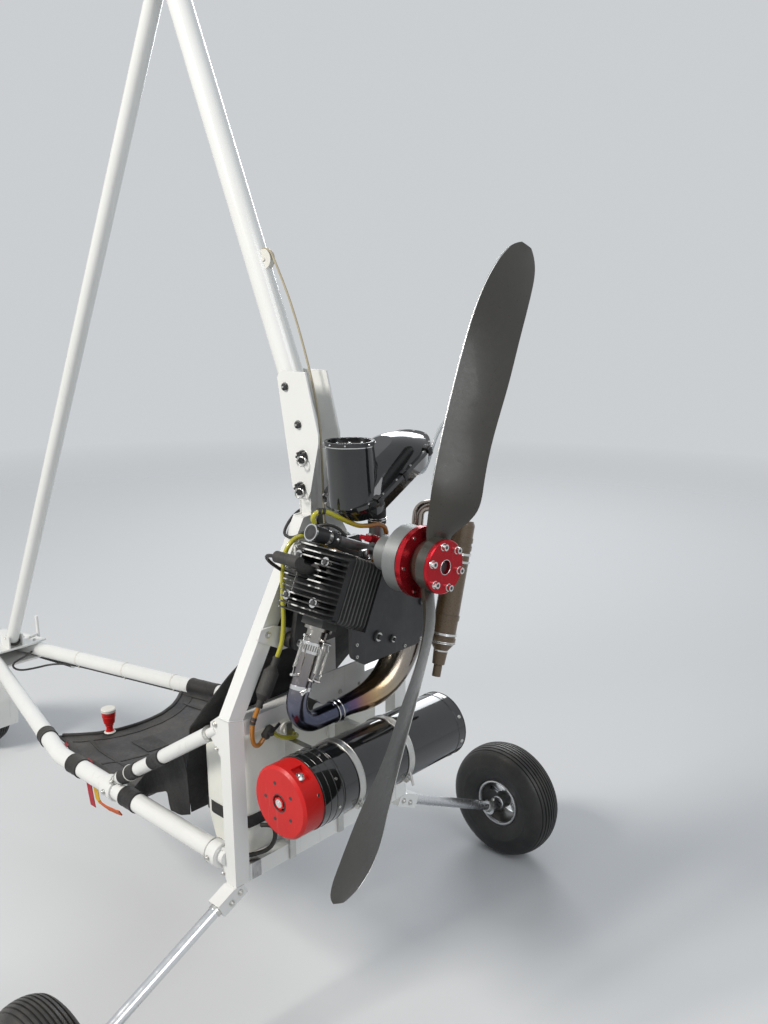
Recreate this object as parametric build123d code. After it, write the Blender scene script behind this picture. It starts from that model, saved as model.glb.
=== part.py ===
from build123d import *
import math
import os

os.makedirs("parts", exist_ok=True)

# Single-seat trike unit of an ultralight aircraft, millimetres.
# Forward is -Y, +X is the pilot's left, +Z is up.
# Y places below are measured from the rear face of the propeller's drive flange.

# Fits
SEAT_GAP = 0.3        # between pieces that are fastened together
RUNNING_GAP = 0.05    # radial, round each turning shaft
SWING_GAP = 6.0       # between a turning piece and what stands still

# Rear frame of rectangular tube
TUBE_W = 35.0         # across
TUBE_D = 30.0         # fore and aft
FRAME_Y = -288.0      # middle of the tubes
POST_X = 249.0        # outer face of the posts
POST_Z0 = 335.0
CORNER_Z = 690.0
NECK_X = 45.0         # outer face of the legs at the neck
NECK_Z = 1050.0
MID_TOP_Z = 680.0
MID_H = 32.0
CENTRE_W = 66.0       # centre post

# Round tubes
MAST_R = 25.0
MAST_FOOT = (-300.0, 1206.0)     # Y, Z of the axis
MAST_SLOPE = -0.4206             # Y per Z
MAST_HEAD_Z = 2155.0
STRUT_R = 19.0
STRUT_FOOT = (-1684.0, 410.0)
STRUT_MEET_DROP = 9.4            # from the mast's top end down to where the two axes meet
BASE_R = 21.0
BASE_Z = 387.0
BASE_NOSE = (30.0, -1810.0)      # X, Y
BASE_BEND = (245.0, -950.0)
BASE_REAR_Y = -322.0
BRACE_R = 15.0

# Hang bracket at the mast head
HANG_BLOCK_D = 56.0
HANG_BLOCK_H = 60.0
HANG_BORE_R = 5.0
HANG_BOLT_EDGE = 20.0            # from the block's top down to the bolt
HANG_PLATE_RISE = 16.0           # how far the cheek plates stand above the mast's end
PLATE_T = 4.0

# Ground contact: heights below are drawn from a line AXLE_Z under the axles
WHEEL_R = 150.0
AXLE_Z = 150.0
WHEEL_W = 100.0
TRACK_X = 660.0
WHEEL_HUB = 36.0      # half the hub's length
RIM_HOLES = 5
RIM_HOLE_R = 10.0
RIM_HOLE_AT = 38.5
AXLE_BOSS = 32.0
AXLE_Y = -288.0
NOSE_WHEEL_Y = -1955.0
STUB_R = 10.0
LEG_R = 12.0

# Steering
STEER_Y = -1862.0
STEER_Z = 400.0
STEER_LEAN = 15.0

# Engine
CRANK_X = -40.0
CRANK_Z = 886.0
CYL_TILT = 25.0
CYL_Y = -160.0
DRIVE_Z = 1003.0
DRUM_R = 63.0
DRIVE_R = 66.0
FLANGE_T = 12.0
SHAFT_R = 15.0
PLATE_Y = -105.0

# Propeller
PROP_TURN = 23.8      # lean of the blades from upright, top towards the pilot's right
HUB_T = 42.0
HUB_R = 50.0
HUB_PLATE_R = 49.5
HUB_PLATE_T = 8.0
HUB_NUT_T = 8.0

# Exhaust
EXHAUST_Y = -170.0
HEADER_Z = 683.0
HEADER_R = 20.0

# Rescue canister
CAN_Y = -130.0
CAN_Z = 576.0
CAN_R = 68.0
CAN_X0 = -204.0
CAN_X1 = 204.0
CAP_X1 = 251.0
CAP_R = 70.0

# Seat
SEAT_Z = 370.0
SEAT_T = 12.0
SEAT_X = 214.0
SEAT_REAR_Y = -636.0
SLEEVE_T = 2.4

# Every piece is moved aft by DRIVE_Y when it is written, and up by GROUND_Z, so the origin is
# on the ground under the middle of the whole aircraft.
DRIVE_Y = (WHEEL_R - NOSE_WHEEL_Y - HUB_T - HUB_PLATE_T - HUB_NUT_T) / 2
GROUND_Z = WHEEL_R - AXLE_Z


def write(shape, name):
    moved = Pos(0, DRIVE_Y, GROUND_Z) * shape
    export_step(moved, "parts/" + name + ".step")


def rod(a, b, r):
    start = Vector(*a)
    run = Vector(*b) - start
    return Plane(origin=start, z_dir=run) * Cylinder(r, run.length, align=(Align.CENTER, Align.CENTER, Align.MIN))


def cone(a, b, r1, r2):
    start = Vector(*a)
    run = Vector(*b) - start
    return Plane(origin=start, z_dir=run) * Cone(r1, r2, run.length, align=(Align.CENTER, Align.CENTER, Align.MIN))


def block(x0, x1, y0, y1, z0, z1):
    size = (abs(x1 - x0), abs(y1 - y0), abs(z1 - z0))
    return Pos((x0 + x1) / 2, (y0 + y1) / 2, (z0 + z1) / 2) * Box(*size)


def slab_y(points, y0, y1):
    """Outline in X and Z, thick along Y."""
    face = make_face(Polyline(*[(x, y0, z) for x, z in points], close=True))
    return extrude(face, amount=y1 - y0, dir=(0, 1, 0))


def slab_x(points, x0, x1):
    """Outline in Y and Z, thick along X."""
    face = make_face(Polyline(*[(x0, y, z) for y, z in points], close=True))
    return extrude(face, amount=x1 - x0, dir=(1, 0, 0))


def slab_z(points, z0, z1):
    """Outline in X and Y, thick along Z."""
    face = make_face(Polyline(*[(x, y, z0) for x, y in points], close=True))
    return extrude(face, amount=z1 - z0, dir=(0, 0, 1))


def turned(a, b, outline):
    """Turned about the line from a to b: the outline is distance along it and radius."""
    start = Vector(*a)
    run = Vector(*b) - start
    pts = [(0, 0, outline[0][0]), *[(radius, 0, s) for s, radius in outline], (0, 0, outline[-1][0])]
    body = revolve(make_face(Polyline(*pts, close=True)), axis=Axis.Z)
    return Plane(origin=start, z_dir=run) * body


def both(shape):
    """A left piece and its mirror image on the right."""
    return Compound([*shape.solids(), *mirror(shape, about=Plane.YZ).solids()])


def bent(points, radii, r):
    path = FilletPolyline(*points, radius=radii)
    start = path @ 0
    lead = path % 0
    ring = Plane(origin=start, z_dir=lead) * Circle(r)
    return sweep(ring, path=path)


def hose(points, r):
    """Hose along straight runs, each corner an arc as large as its two runs allow."""
    spots = [Vector(*point) for point in points]
    runs = [b - a for a, b in zip(spots, spots[1:])]
    radii = []
    for a, b in zip(runs, runs[1:]):
        half_turn = math.radians(a.get_angle(b)) / 2
        radii.append(0.45 * min(a.length, b.length) / math.tan(half_turn))
    print("hose radii", [round(radius, 1) for radius in radii])
    return bent(points, radii, r)


def mast_y(z):
    return MAST_FOOT[0] + (z - MAST_FOOT[1]) * MAST_SLOPE


STRUT_MEET_Z = MAST_HEAD_Z - STRUT_MEET_DROP
STRUT_SLOPE = (mast_y(STRUT_MEET_Z) - STRUT_FOOT[0]) / (STRUT_MEET_Z - STRUT_FOOT[1])


def strut_y(z):
    return STRUT_FOOT[0] + (z - STRUT_FOOT[1]) * STRUT_SLOPE


# Rear frame
frame_y0 = FRAME_Y - TUBE_D / 2
frame_y1 = FRAME_Y + TUBE_D / 2
post_in = POST_X - TUBE_W
leg_lean = (POST_X - NECK_X) / (NECK_Z - CORNER_Z)
leg_w = TUBE_W * math.hypot(1, leg_lean)
corner_in_z = CORNER_Z - (post_in - (POST_X - leg_w)) / leg_lean
neck_in = NECK_X - leg_w
post = slab_y(
    [(POST_X, POST_Z0), (POST_X, CORNER_Z), (post_in, corner_in_z), (post_in, POST_Z0)],
    frame_y0,
    frame_y1,
)
write(both(post), "rear_posts")
leg = slab_y(
    [(POST_X, CORNER_Z), (NECK_X, NECK_Z), (neck_in, NECK_Z), (post_in, corner_in_z)],
    frame_y0,
    frame_y1,
)
write(both(leg), "upper_legs")
bottom_bar = block(-post_in, post_in, frame_y0, frame_y1, POST_Z0, POST_Z0 + TUBE_W)
mid_bar = block(-post_in, post_in, frame_y0, frame_y1, MID_TOP_Z - MID_H, MID_TOP_Z)
write(Compound([*bottom_bar.solids(), *mid_bar.solids()]), "cross_bars")
centre_top_z = NECK_Z - (CENTRE_W / 2 + SEAT_GAP - neck_in) / leg_lean
centre_post = block(
    -CENTRE_W / 2,
    CENTRE_W / 2,
    frame_y0,
    frame_y1,
    MID_TOP_Z + SEAT_GAP,
    centre_top_z - 1,
)
write(centre_post, "centre_post")
neck = block(-MAST_R, MAST_R, frame_y0, frame_y1, NECK_Z, 1180)

# Mast, its side plates and its pins
mast_bottom = (0, MAST_FOOT[0], MAST_FOOT[1])
mast_top = (0, mast_y(MAST_HEAD_Z), MAST_HEAD_Z)
mast = rod(mast_bottom, mast_top, MAST_R)
plate_in = MAST_R + SEAT_GAP
plate_out = plate_in + PLATE_T
mast_plate = slab_x(
    [(-357, 1316), (-347, 1330), (-276, 1330), (-243, 1213), (-243, 1196), (-268, 1100), (-276, 1084),
     (-312, 1084), (-320, 1100)],
    plate_in,
    plate_out,
)
write(neck, "neck_block")
write(mast, "mast")
write(both(mast_plate), "mast_side_plates")
pin_table = [
    {"y": -333, "z": 1299, "r": 7, "t": 5},
    {"y": -298, "z": 1228, "r": 7, "t": 5},
    {"y": -287, "z": 1166, "r": 11, "t": 7},
    {"y": -295, "z": 1102, "r": 11, "t": 7},
]
pin_heads = []
for pin in pin_table:
    head = rod((plate_out, pin["y"], pin["z"]), (plate_out + pin["t"], pin["y"], pin["z"]), pin["r"])
    pin_heads += both(head).solids()
write(Compound(pin_heads), "mast_pins")

# Hang bracket, in a frame whose origin is the middle of the mast's top end
head_at = Plane(origin=mast_top, x_dir=(1, 0, 0), z_dir=Vector(*mast_top) - Vector(*mast_bottom))
half_d = HANG_BLOCK_D / 2
block_s1 = SEAT_GAP + HANG_BLOCK_H
bolt_s = block_s1 - HANG_BOLT_EDGE
hang_plate = slab_x(
    [(-half_d, HANG_PLATE_RISE), (half_d, HANG_PLATE_RISE), (half_d - 4, -70), (-20, -92), (-58, -72), (-64, -48)],
    plate_in,
    plate_out,
)
hang_plate = fillet(hang_plate.edges().filter_by(Axis.X), 6)
write(head_at * both(hang_plate), "hang_plates")
hang_block = block(-MAST_R, MAST_R, -half_d, half_d, SEAT_GAP, block_s1)
hang_block = fillet(hang_block.edges().filter_by(Axis.X).sort_by(Axis.Z)[-2:], 18)
hang_block -= rod((-MAST_R - 9, 0, bolt_s), (MAST_R + 9, 0, bolt_s), HANG_BORE_R)
write(head_at * hang_block, "hang_block")

# Base tubes, their rear brackets and the side braces
nose_x, nose_y = BASE_NOSE
bend_x, bend_y = BASE_BEND
base_tube = bent(
    [(nose_x, nose_y, BASE_Z), (bend_x, bend_y, BASE_Z), (bend_x, BASE_REAR_Y, BASE_Z)],
    180,
    BASE_R,
)
write(both(base_tube), "base_tubes")
ring_r = BASE_R + 4.5
hole_r = BASE_R + SEAT_GAP
base_end = BASE_REAR_Y + SEAT_GAP
base_bracket = rod((bend_x, BASE_REAR_Y - 22, BASE_Z), (bend_x, base_end + 5, BASE_Z), ring_r)
base_bracket -= rod((bend_x, BASE_REAR_Y - 40, BASE_Z), (bend_x, base_end, BASE_Z), hole_r)
base_bracket += rod((bend_x, base_end, BASE_Z), (bend_x, frame_y0, BASE_Z), 15)
base_bracket += slab_x([(base_end, 404), (frame_y0, 412), (frame_y0, 338), (base_end, 370)], 236, 249)

BRACE_FOOT = (bend_x, -716.0, 402.0)
BRACE_HEAD = (bend_x, -322.0, 655.0)
foot_at = Vector(*BRACE_FOOT)
brace_run = (Vector(*BRACE_HEAD) - foot_at).normalized()
brace_len = (Vector(*BRACE_HEAD) - foot_at).length
brace_a = foot_at + brace_run * 38
brace_b = foot_at + brace_run * (brace_len - 22)
brace = rod(brace_a, brace_b, BRACE_R)
write(both(brace), "side_braces")
brace_foot = rod((bend_x, -735, BASE_Z), (bend_x, -697, BASE_Z), ring_r)
brace_foot += rod(foot_at, (brace_a - brace_run * SEAT_GAP), 11)
brace_foot -= rod((bend_x, -760, BASE_Z), (bend_x, -670, BASE_Z), hole_r)
brace_head = slab_x([(-330, 672), (frame_y0, 692), (frame_y0, 606), (-316, 622), (-332, 640)], 236, 249)
brace_head += rod((brace_b + brace_run * SEAT_GAP), (BRACE_HEAD[0] - 3, -318, 657.5), 10)
brace_head -= block(200, 300, frame_y0, -200, 500, 800)
brace_head -= rod(brace_a, brace_b, BRACE_R + SEAT_GAP)
write(Compound([*both(base_bracket).solids(), *both(brace_foot).solids(), *both(brace_head).solids()]), "tube_brackets")

# Axle legs with their sockets and stub axles
boss_x1 = TRACK_X - WHEEL_HUB - SWING_GAP
boss_x0 = boss_x1 - AXLE_BOSS
leg_a = Vector(228, AXLE_Y, 330)
leg_b = Vector((boss_x0 + boss_x1) / 2, AXLE_Y, AXLE_Z)
leg_run = (leg_b - leg_a).normalized()
socket = Plane(origin=leg_a, x_dir=(0, 1, 0), z_dir=leg_run) * Box(32, 32, 66, align=(Align.CENTER, Align.CENTER, Align.MIN))
socket -= block(100, 400, -400, -100, POST_Z0 - SEAT_GAP, 500)
socket -= block(0, 214, -400, -100, 200, 500)
leg_start = leg_a + leg_run * 20
socket -= rod(leg_start, leg_b, LEG_R + SEAT_GAP)
write(both(socket), "leg_sockets")
axle_leg = rod((leg_start + leg_run * SEAT_GAP), leg_b, LEG_R)
axle_leg += rod((boss_x0, AXLE_Y, AXLE_Z), (boss_x1, AXLE_Y, AXLE_Z), 17)
axle_leg += rod((boss_x1 - 6, AXLE_Y, AXLE_Z), (TRACK_X + WHEEL_HUB + 2, AXLE_Y, AXLE_Z), STUB_R)
write(both(axle_leg), "axle_legs")

# Wheels: section as radius and width pairs
tyre_outline = [(64, 34), (74, 42), (95, 49), (118, 50), (134, 44), (145, 30), (WHEEL_R, 10)]


def ring_of(outline):
    """Turned about X: the outline is given for the +X half and mirrored."""
    pts = [(w, 0, r) for r, w in outline]
    pts += [(-w, 0, r) for r, w in reversed(outline)]
    face = make_face(Polyline(*pts, close=True))
    return revolve(face, axis=Axis.X)


def tyre_at(x, y, z):
    return Pos(x, y, z) * ring_of(tyre_outline)


def rim_at(x, y, z):
    half = [(63.7, 33), (60, 38), (56, 34), (52, 9), (25, 7), (22, WHEEL_HUB), (STUB_R + RUNNING_GAP, WHEEL_HUB)]
    pts = [(w, 0, r) for r, w in half] + [(-w, 0, r) for r, w in reversed(half)]
    rim = revolve(make_face(Polyline(*pts, close=True)), axis=Axis.X)
    for k in range(RIM_HOLES):
        turn = math.radians(360 / RIM_HOLES * k)
        hole_y = RIM_HOLE_AT * math.sin(turn)
        hole_z = RIM_HOLE_AT * math.cos(turn)
        rim -= rod((-20, hole_y, hole_z), (20, hole_y, hole_z), RIM_HOLE_R)
    return Pos(x, y, z) * rim


wheel_table = [
    {"name": "left", "x": TRACK_X, "y": AXLE_Y},
    {"name": "right", "x": -TRACK_X, "y": AXLE_Y},
    {"name": "nose", "x": 0.0, "y": NOSE_WHEEL_Y},
]
for wheel in wheel_table:
    write(tyre_at(wheel["x"], wheel["y"], AXLE_Z), wheel["name"] + "_tyre")
    write(rim_at(wheel["x"], wheel["y"], AXLE_Z), wheel["name"] + "_rim")

# Nose joint with the steering head
steer = Plane(
    origin=(0, STEER_Y, STEER_Z),
    x_dir=(1, 0, 0),
    z_dir=(0, math.sin(math.radians(STEER_LEAN)), math.cos(math.radians(STEER_LEAN))),
)
STEM_R = 12.0
HEAD_S0 = -46.0
HEAD_S1 = 46.0
plate_line = [(-30, -1894), (30, -1894), (56, -1810), (98, -1650), (62, -1640), (-62, -1640), (-98, -1650), (-56, -1810)]
plate_top_z = BASE_Z + BASE_R + SEAT_GAP
plate_low_z = BASE_Z - BASE_R - SEAT_GAP
nose_joint = slab_z(plate_line, plate_top_z, plate_top_z + 5)
nose_joint += slab_z(plate_line, plate_low_z - 5, plate_low_z)
nose_joint += steer * Pos(0, 0, HEAD_S0) * Cylinder(22, HEAD_S1 - HEAD_S0, align=(Align.CENTER, Align.CENTER, Align.MIN))
ear_y = strut_y(plate_top_z + 25)
ear = block(STRUT_R + SEAT_GAP, STRUT_R + SEAT_GAP + 4, ear_y - 26, ear_y + 26, plate_top_z + 5, plate_top_z + 42)
nose_joint += ear
nose_joint += mirror(ear, about=Plane.YZ)
nose_joint -= steer * Pos(0, 0, HEAD_S0 - 10) * Cylinder(STEM_R + RUNNING_GAP, 140, align=(Align.CENTER, Align.CENTER, Align.MIN))
write(nose_joint, "nose_joint")

# Front strut
strut = rod((0, strut_y(380), 380), (0, strut_y(STRUT_MEET_Z), STRUT_MEET_Z), STRUT_R)
strut -= block(-100, 100, -1900, -1500, 300, plate_top_z + 5 + SEAT_GAP)
strut -= head_at * rod((0, 0, -300), (0, 0, 60), MAST_R + SEAT_GAP)
write(strut, "front_strut")

# Steered fork, in the steering head's own frame
lean = math.radians(STEER_LEAN)
wheel_y = (NOSE_WHEEL_Y - STEER_Y) * math.cos(lean) - (AXLE_Z - STEER_Z) * math.sin(lean)
wheel_s = (NOSE_WHEEL_Y - STEER_Y) * math.sin(lean) + (AXLE_Z - STEER_Z) * math.cos(lean)
GUARD_GAP = 8.2
GUARD_T = 3.0
CROWN_T = 22.0
guard_r = WHEEL_R + GUARD_GAP
crown_s0 = wheel_s + guard_r + GUARD_T + SEAT_GAP
crown_s1 = crown_s0 + CROWN_T
fork = Pos(0, wheel_y + 8, (crown_s0 + crown_s1) / 2) * Box(124, 56, CROWN_T)
fork += Pos(0, 0, crown_s1 - 1) * Cylinder(STEM_R, HEAD_S1 + 12 - crown_s1, align=(Align.CENTER, Align.CENTER, Align.MIN))
fork += Pos(0, 0, crown_s1 - 1) * Cylinder(17, HEAD_S0 - crown_s1 - 1, align=(Align.CENTER, Align.CENTER, Align.MIN))
fork += Pos(0, 0, HEAD_S1 + 2) * Cylinder(17, 10, align=(Align.CENTER, Align.CENTER, Align.MIN))
arm = slab_x(
    [(wheel_y - 20, crown_s1), (wheel_y + 36, crown_s1), (wheel_y + 17, wheel_s), (wheel_y, wheel_s - 18), (wheel_y - 17, wheel_s)],
    56,
    62,
)
fork += arm
fork += mirror(arm, about=Plane.YZ)
fork += Pos(0, wheel_y, wheel_s) * Rot(0, 90, 0) * Cylinder(STUB_R, 140)
fork = steer * fork
PEG_Z = 328.0
PEG_A = (121.0, -1745.0)
PEG_B = (150.0, -1588.0)
peg_arm = rod((50, -1895, 316), (*PEG_A, PEG_Z), 7)
fork += peg_arm
fork += mirror(peg_arm, about=Plane.YZ)
write(fork, "nose_fork")
peg = rod((*PEG_A, PEG_Z), (*PEG_B, PEG_Z), 10)
peg -= rod((50, -1895, 316), (*PEG_A, PEG_Z), 7 + SEAT_GAP)
write(both(peg), "foot_pegs")
guard_w = WHEEL_W + GUARD_GAP
guard = Pos(0, NOSE_WHEEL_Y, AXLE_Z) * Rot(0, 90, 0) * Cylinder(guard_r + GUARD_T, guard_w)
guard -= Pos(0, NOSE_WHEEL_Y, AXLE_Z) * Rot(0, 90, 0) * Cylinder(guard_r, guard_w + 9)
guard_keep = slab_x([(NOSE_WHEEL_Y, AXLE_Z), (-2020, 420), (-1700, 420), (-1700, 60)], -guard_w, guard_w)
write(guard & guard_keep, "mudguard")

# Throttle pedal on the nose joint
pedal = rod((-100, -1700, 372), (-97, -1698, 476), 5)
pedal_arm = rod((-60, -1690, plate_top_z + 5 + 4), (-100, -1700, plate_top_z + 9), 4)
write(pedal + pedal_arm, "throttle_pedal")

# Seat: a cloth sling between the base tubes, with sleeves round them
sling = slab_z(
    [(0, SEAT_REAR_Y), (0, -972), (110, -1000), (188, -1066), (196, -1020), (SEAT_X, -950), (SEAT_X, SEAT_REAR_Y)],
    SEAT_Z,
    SEAT_Z + SEAT_T,
)
sling += mirror(sling, about=Plane.YZ)
sling_top = SEAT_Z + SEAT_T
rear_rise = slab_x(
    [(SEAT_REAR_Y - 14, sling_top - 1), (SEAT_REAR_Y, SEAT_Z + 1), (-492, 548), (-501, 557)],
    -SEAT_X + 14,
    SEAT_X - 14,
)
seat_base = sling + rear_rise
tube_run = Vector(bend_x - nose_x, bend_y - nose_y, 0).normalized()
sleeve_r = BASE_R + SEAT_GAP + SLEEVE_T
sleeve_table = [
    {"side": 1, "y": -1062, "length": 34},
    {"side": -1, "y": -1012, "length": 96},
    {"side": 1, "y": -868, "length": 46},
    {"side": -1, "y": -868, "length": 46},
    {"side": 1, "y": -640, "length": 50},
    {"side": -1, "y": -640, "length": 50},
]
for row in sleeve_table:
    tube_x = bend_x + min(0, row["y"] - bend_y) * tube_run.X / tube_run.Y
    lead = Vector(0, 1, 0) if row["y"] > bend_y else tube_run
    middle = Vector(tube_x, row["y"], BASE_Z)
    start = middle - lead * (row["length"] / 2)
    stop = middle + lead * (row["length"] / 2)
    sleeve = rod(start, stop, sleeve_r)
    half = row["length"] / 2 - 4
    sleeve += block(tube_x - 52, tube_x - 14, row["y"] - half, row["y"] + half, SEAT_Z + 1, sling_top - 1)
    sleeve -= rod(start - lead * 30, stop + lead * 30, BASE_R + SEAT_GAP)
    if row["side"] < 0:
        sleeve = mirror(sleeve, about=Plane.YZ)
    seat_base += sleeve
write(seat_base, "seat_base")

# Seat back: half width and front face by height; it lies on the legs and hangs on as a flap below
BACK_T = 11.0
SIDE_T = 6.0
back_half = SEAT_X - SIDE_T - SEAT_GAP
back_y = frame_y0 - SEAT_GAP
back_table = [
    {"z": 1045, "half": 30, "y": back_y},
    {"z": 883, "half": 108, "y": back_y},
    {"z": 811, "half": 149, "y": back_y},
    {"z": 745, "half": 187, "y": -352.0},
    {"z": 687, "half": back_half, "y": -392.0},
    {"z": 602, "half": back_half, "y": -468.0},
    {"z": 500, "half": back_half, "y": -486.0},
    {"z": 396, "half": 200, "y": -490.0},
]
right_edge = [(row["half"], row["z"]) for row in back_table]
left_edge = [(-row["half"], row["z"]) for row in reversed(back_table)]
rear_line = [(row["y"], row["z"]) for row in back_table]
front_line = [(row["y"] - BACK_T, row["z"]) for row in reversed(back_table)]
seat_back = slab_y(right_edge + left_edge, -560, -250) & slab_x(rear_line + front_line, -300, 300)
write(seat_back, "seat_back")

# Seat sides, hung on the braces with two loops each
side = slab_x(
    [(-684, sling_top + 1), (-504, sling_top + 1), (-503, 500), (-486, 560), (-520, 512), (-640, 434)],
    SEAT_X - SIDE_T,
    SEAT_X,
)
loop_table = [{"at": 92, "length": 78}, {"at": 226, "length": 50}]
for row in loop_table:
    start = foot_at + brace_run * (row["at"] - row["length"] / 2)
    stop = foot_at + brace_run * (row["at"] + row["length"] / 2)
    middle = foot_at + brace_run * row["at"]
    loop = rod(start, stop, BRACE_R + SEAT_GAP + SLEEVE_T)
    loop += Plane(origin=middle, x_dir=(1, 0, 0), z_dir=brace_run) * Pos(-26, 13, 0) * Box(26, 4, row["length"] - 8)
    loop -= rod(start - brace_run * 30, stop + brace_run * 30, BRACE_R + SEAT_GAP)
    side += loop
write(both(side), "seat_sides")

# Fuel tank behind the seat
tank_back = frame_y0 - SEAT_GAP
tank = slab_x([(-440, 420), (-404, 318), (tank_back, 318), (tank_back, 640), (-392, 640), (-440, 575)], -196, 196)
tank = fillet(tank.edges(), 26)
TANK_OUT_X = 84.0
TANK_OUT_Z = 606.0
tank += rod((TANK_OUT_X, tank_back - 1, TANK_OUT_Z), (TANK_OUT_X, tank_back + 8, TANK_OUT_Z), 8)
write(tank, "fuel_tank")

# Engine: crankcase with its intake block, and the casting behind it
tilt = math.radians(CYL_TILT)
cyl = Plane(origin=(CRANK_X, CYL_Y, CRANK_Z), x_dir=(0, 1, 0), z_dir=(math.cos(tilt), 0, math.sin(tilt)))
CASE_R = 72.0
CASE_Y0 = -236.0
INTAKE_X = -52.0
INTAKE_Z = 961.0
BARREL_U = 76.0
case_y1 = PLATE_Y - SEAT_GAP
crankcase = rod((CRANK_X, CASE_Y0, CRANK_Z), (CRANK_X, case_y1, CRANK_Z), CASE_R)
crankcase += cyl * Pos(0, 0, 30) * Box(90, 90, BARREL_U - 30, align=(Align.CENTER, Align.CENTER, Align.MIN))
crankcase += block(INTAKE_X - 30, INTAKE_X + 30, CYL_Y - 38, CYL_Y + 22, CRANK_Z + 40, INTAKE_Z)
for k in range(6):
    turn = math.radians(30 + 60 * k)
    lug_x = CRANK_X + CASE_R * math.cos(turn)
    lug_z = CRANK_Z + CASE_R * math.sin(turn)
    if k > 0:
        crankcase += rod((lug_x, CYL_Y + 10, lug_z), (lug_x, case_y1, lug_z), 9)
write(crankcase, "crankcase")
plate_face = [(92, 818), (60, 796), (-96, 796), (-124, 840), (-124, 925), (-58, 990), (58, 990), (92, 930)]
engine_plate = slab_y(plate_face, PLATE_Y, PLATE_Y + 8)
engine_plate = fillet(engine_plate.edges().filter_by(Axis.Y), 16)
BARREL_D = 120.0
BARREL_H = 130.0
engine_plate -= cyl * Pos(0, 0, BARREL_U) * Box(BARREL_D + 60, BARREL_H + 1, 200, align=(Align.CENTER, Align.CENTER, Align.MIN))
boss_table = [{"x": 24, "z": 843, "r": 11}, {"x": -17, "z": 827, "r": 8}, {"x": -104, "z": 882, "r": 9}]
for row in boss_table:
    engine_plate += rod((row["x"], PLATE_Y + 7, row["z"]), (row["x"], PLATE_Y + 12, row["z"]), row["r"])
write(engine_plate, "engine_plate")

# Finned barrel and head, built along the cylinder's axis
FIN_COUNT = 8
FIN_PITCH = 10.0
FIN_T = 2.6
fin_u0 = BARREL_U + 3
barrel = cyl * Pos(0, 0, BARREL_U + SEAT_GAP) * Cylinder(40, FIN_COUNT * FIN_PITCH, align=(Align.CENTER, Align.CENTER, Align.MIN))
fin_face = RectangleRounded(BARREL_D, BARREL_H, 12)
for k in range(FIN_COUNT):
    barrel += cyl * Pos(0, 0, fin_u0 + k * FIN_PITCH) * extrude(fin_face, amount=FIN_T)
PORT_U = 125.5
PORT_W = 80.0
barrel += cyl * Pos(EXHAUST_Y - CYL_Y, -PORT_W + 26, PORT_U) * Box(56, 52, 40)
write(barrel, "cylinder_barrel")
head_u = BARREL_U + 2 * SEAT_GAP + FIN_COUNT * FIN_PITCH
HEAD_H = 56.0
HEAD_FINS = 13
HEAD_FIN_PITCH = 10.4
PLUG_W = 16.0
head = cyl * Pos(0, 0, head_u) * extrude(RectangleRounded(BARREL_D + 4, BARREL_H, 12), amount=14)
for k in range(HEAD_FINS):
    fin_w = (k - (HEAD_FINS - 1) / 2) * HEAD_FIN_PITCH
    fin_h = HEAD_H - 0.16 * abs(fin_w)
    fin = Box(BARREL_D + 4, FIN_T, fin_h, align=(Align.CENTER, Align.CENTER, Align.MIN))
    fin = fillet(fin.edges().filter_by(Axis.Y).sort_by(Axis.Z)[-2:], 16)
    head += cyl * Pos(0, fin_w, head_u) * fin
head -= cyl * Pos(0, PLUG_W, head_u + 26) * Cylinder(21, HEAD_H, align=(Align.CENTER, Align.CENTER, Align.MIN))
head += cyl * Pos(0, PLUG_W, head_u) * Cylinder(15, 34, align=(Align.CENTER, Align.CENTER, Align.MIN))
nut_table = [{"y": -36, "w": -38}, {"y": -36, "w": 38}, {"y": 36, "w": -38}, {"y": 36, "w": 38}]
for nut in nut_table:
    head += cyl * Pos(nut["y"], nut["w"], head_u) * Cylinder(9, HEAD_H - 8, align=(Align.CENTER, Align.CENTER, Align.MIN))
write(head, "cylinder_head")
PLUG_U = 86.0
CAP_LIFT = 8.0
boot_at = cyl.from_local_coords((0, PLUG_W, head_u + PLUG_U))
plug_boot = cyl * Pos(0, PLUG_W, head_u + 34 + SEAT_GAP) * Cylinder(9, 50, align=(Align.CENTER, Align.CENTER, Align.MIN))
plug_boot += rod((boot_at.X, CYL_Y + 16, boot_at.Z + CAP_LIFT), (boot_at.X, CYL_Y - 46, boot_at.Z + CAP_LIFT), 11)
write(plug_boot, "plug_boot")

# Reduction drum behind the engine
DRUM_AT = 46.0
NECK_R = 34.0
drum_y1 = -FLANGE_T - SWING_GAP
housing = turned(
    (0, PLATE_Y + 8 + SEAT_GAP, DRIVE_Z),
    (0, drum_y1, DRIVE_Z),
    [(0, NECK_R), (DRUM_AT, NECK_R), (DRUM_AT, DRUM_R - 3), (DRUM_AT + 3, DRUM_R), (drum_y1 - PLATE_Y - 8 - SEAT_GAP, DRUM_R - 2)],
)
housing -= rod((0, -200, DRIVE_Z), (0, 50, DRIVE_Z), SHAFT_R + RUNNING_GAP)
write(housing, "reduction_housing")

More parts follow.
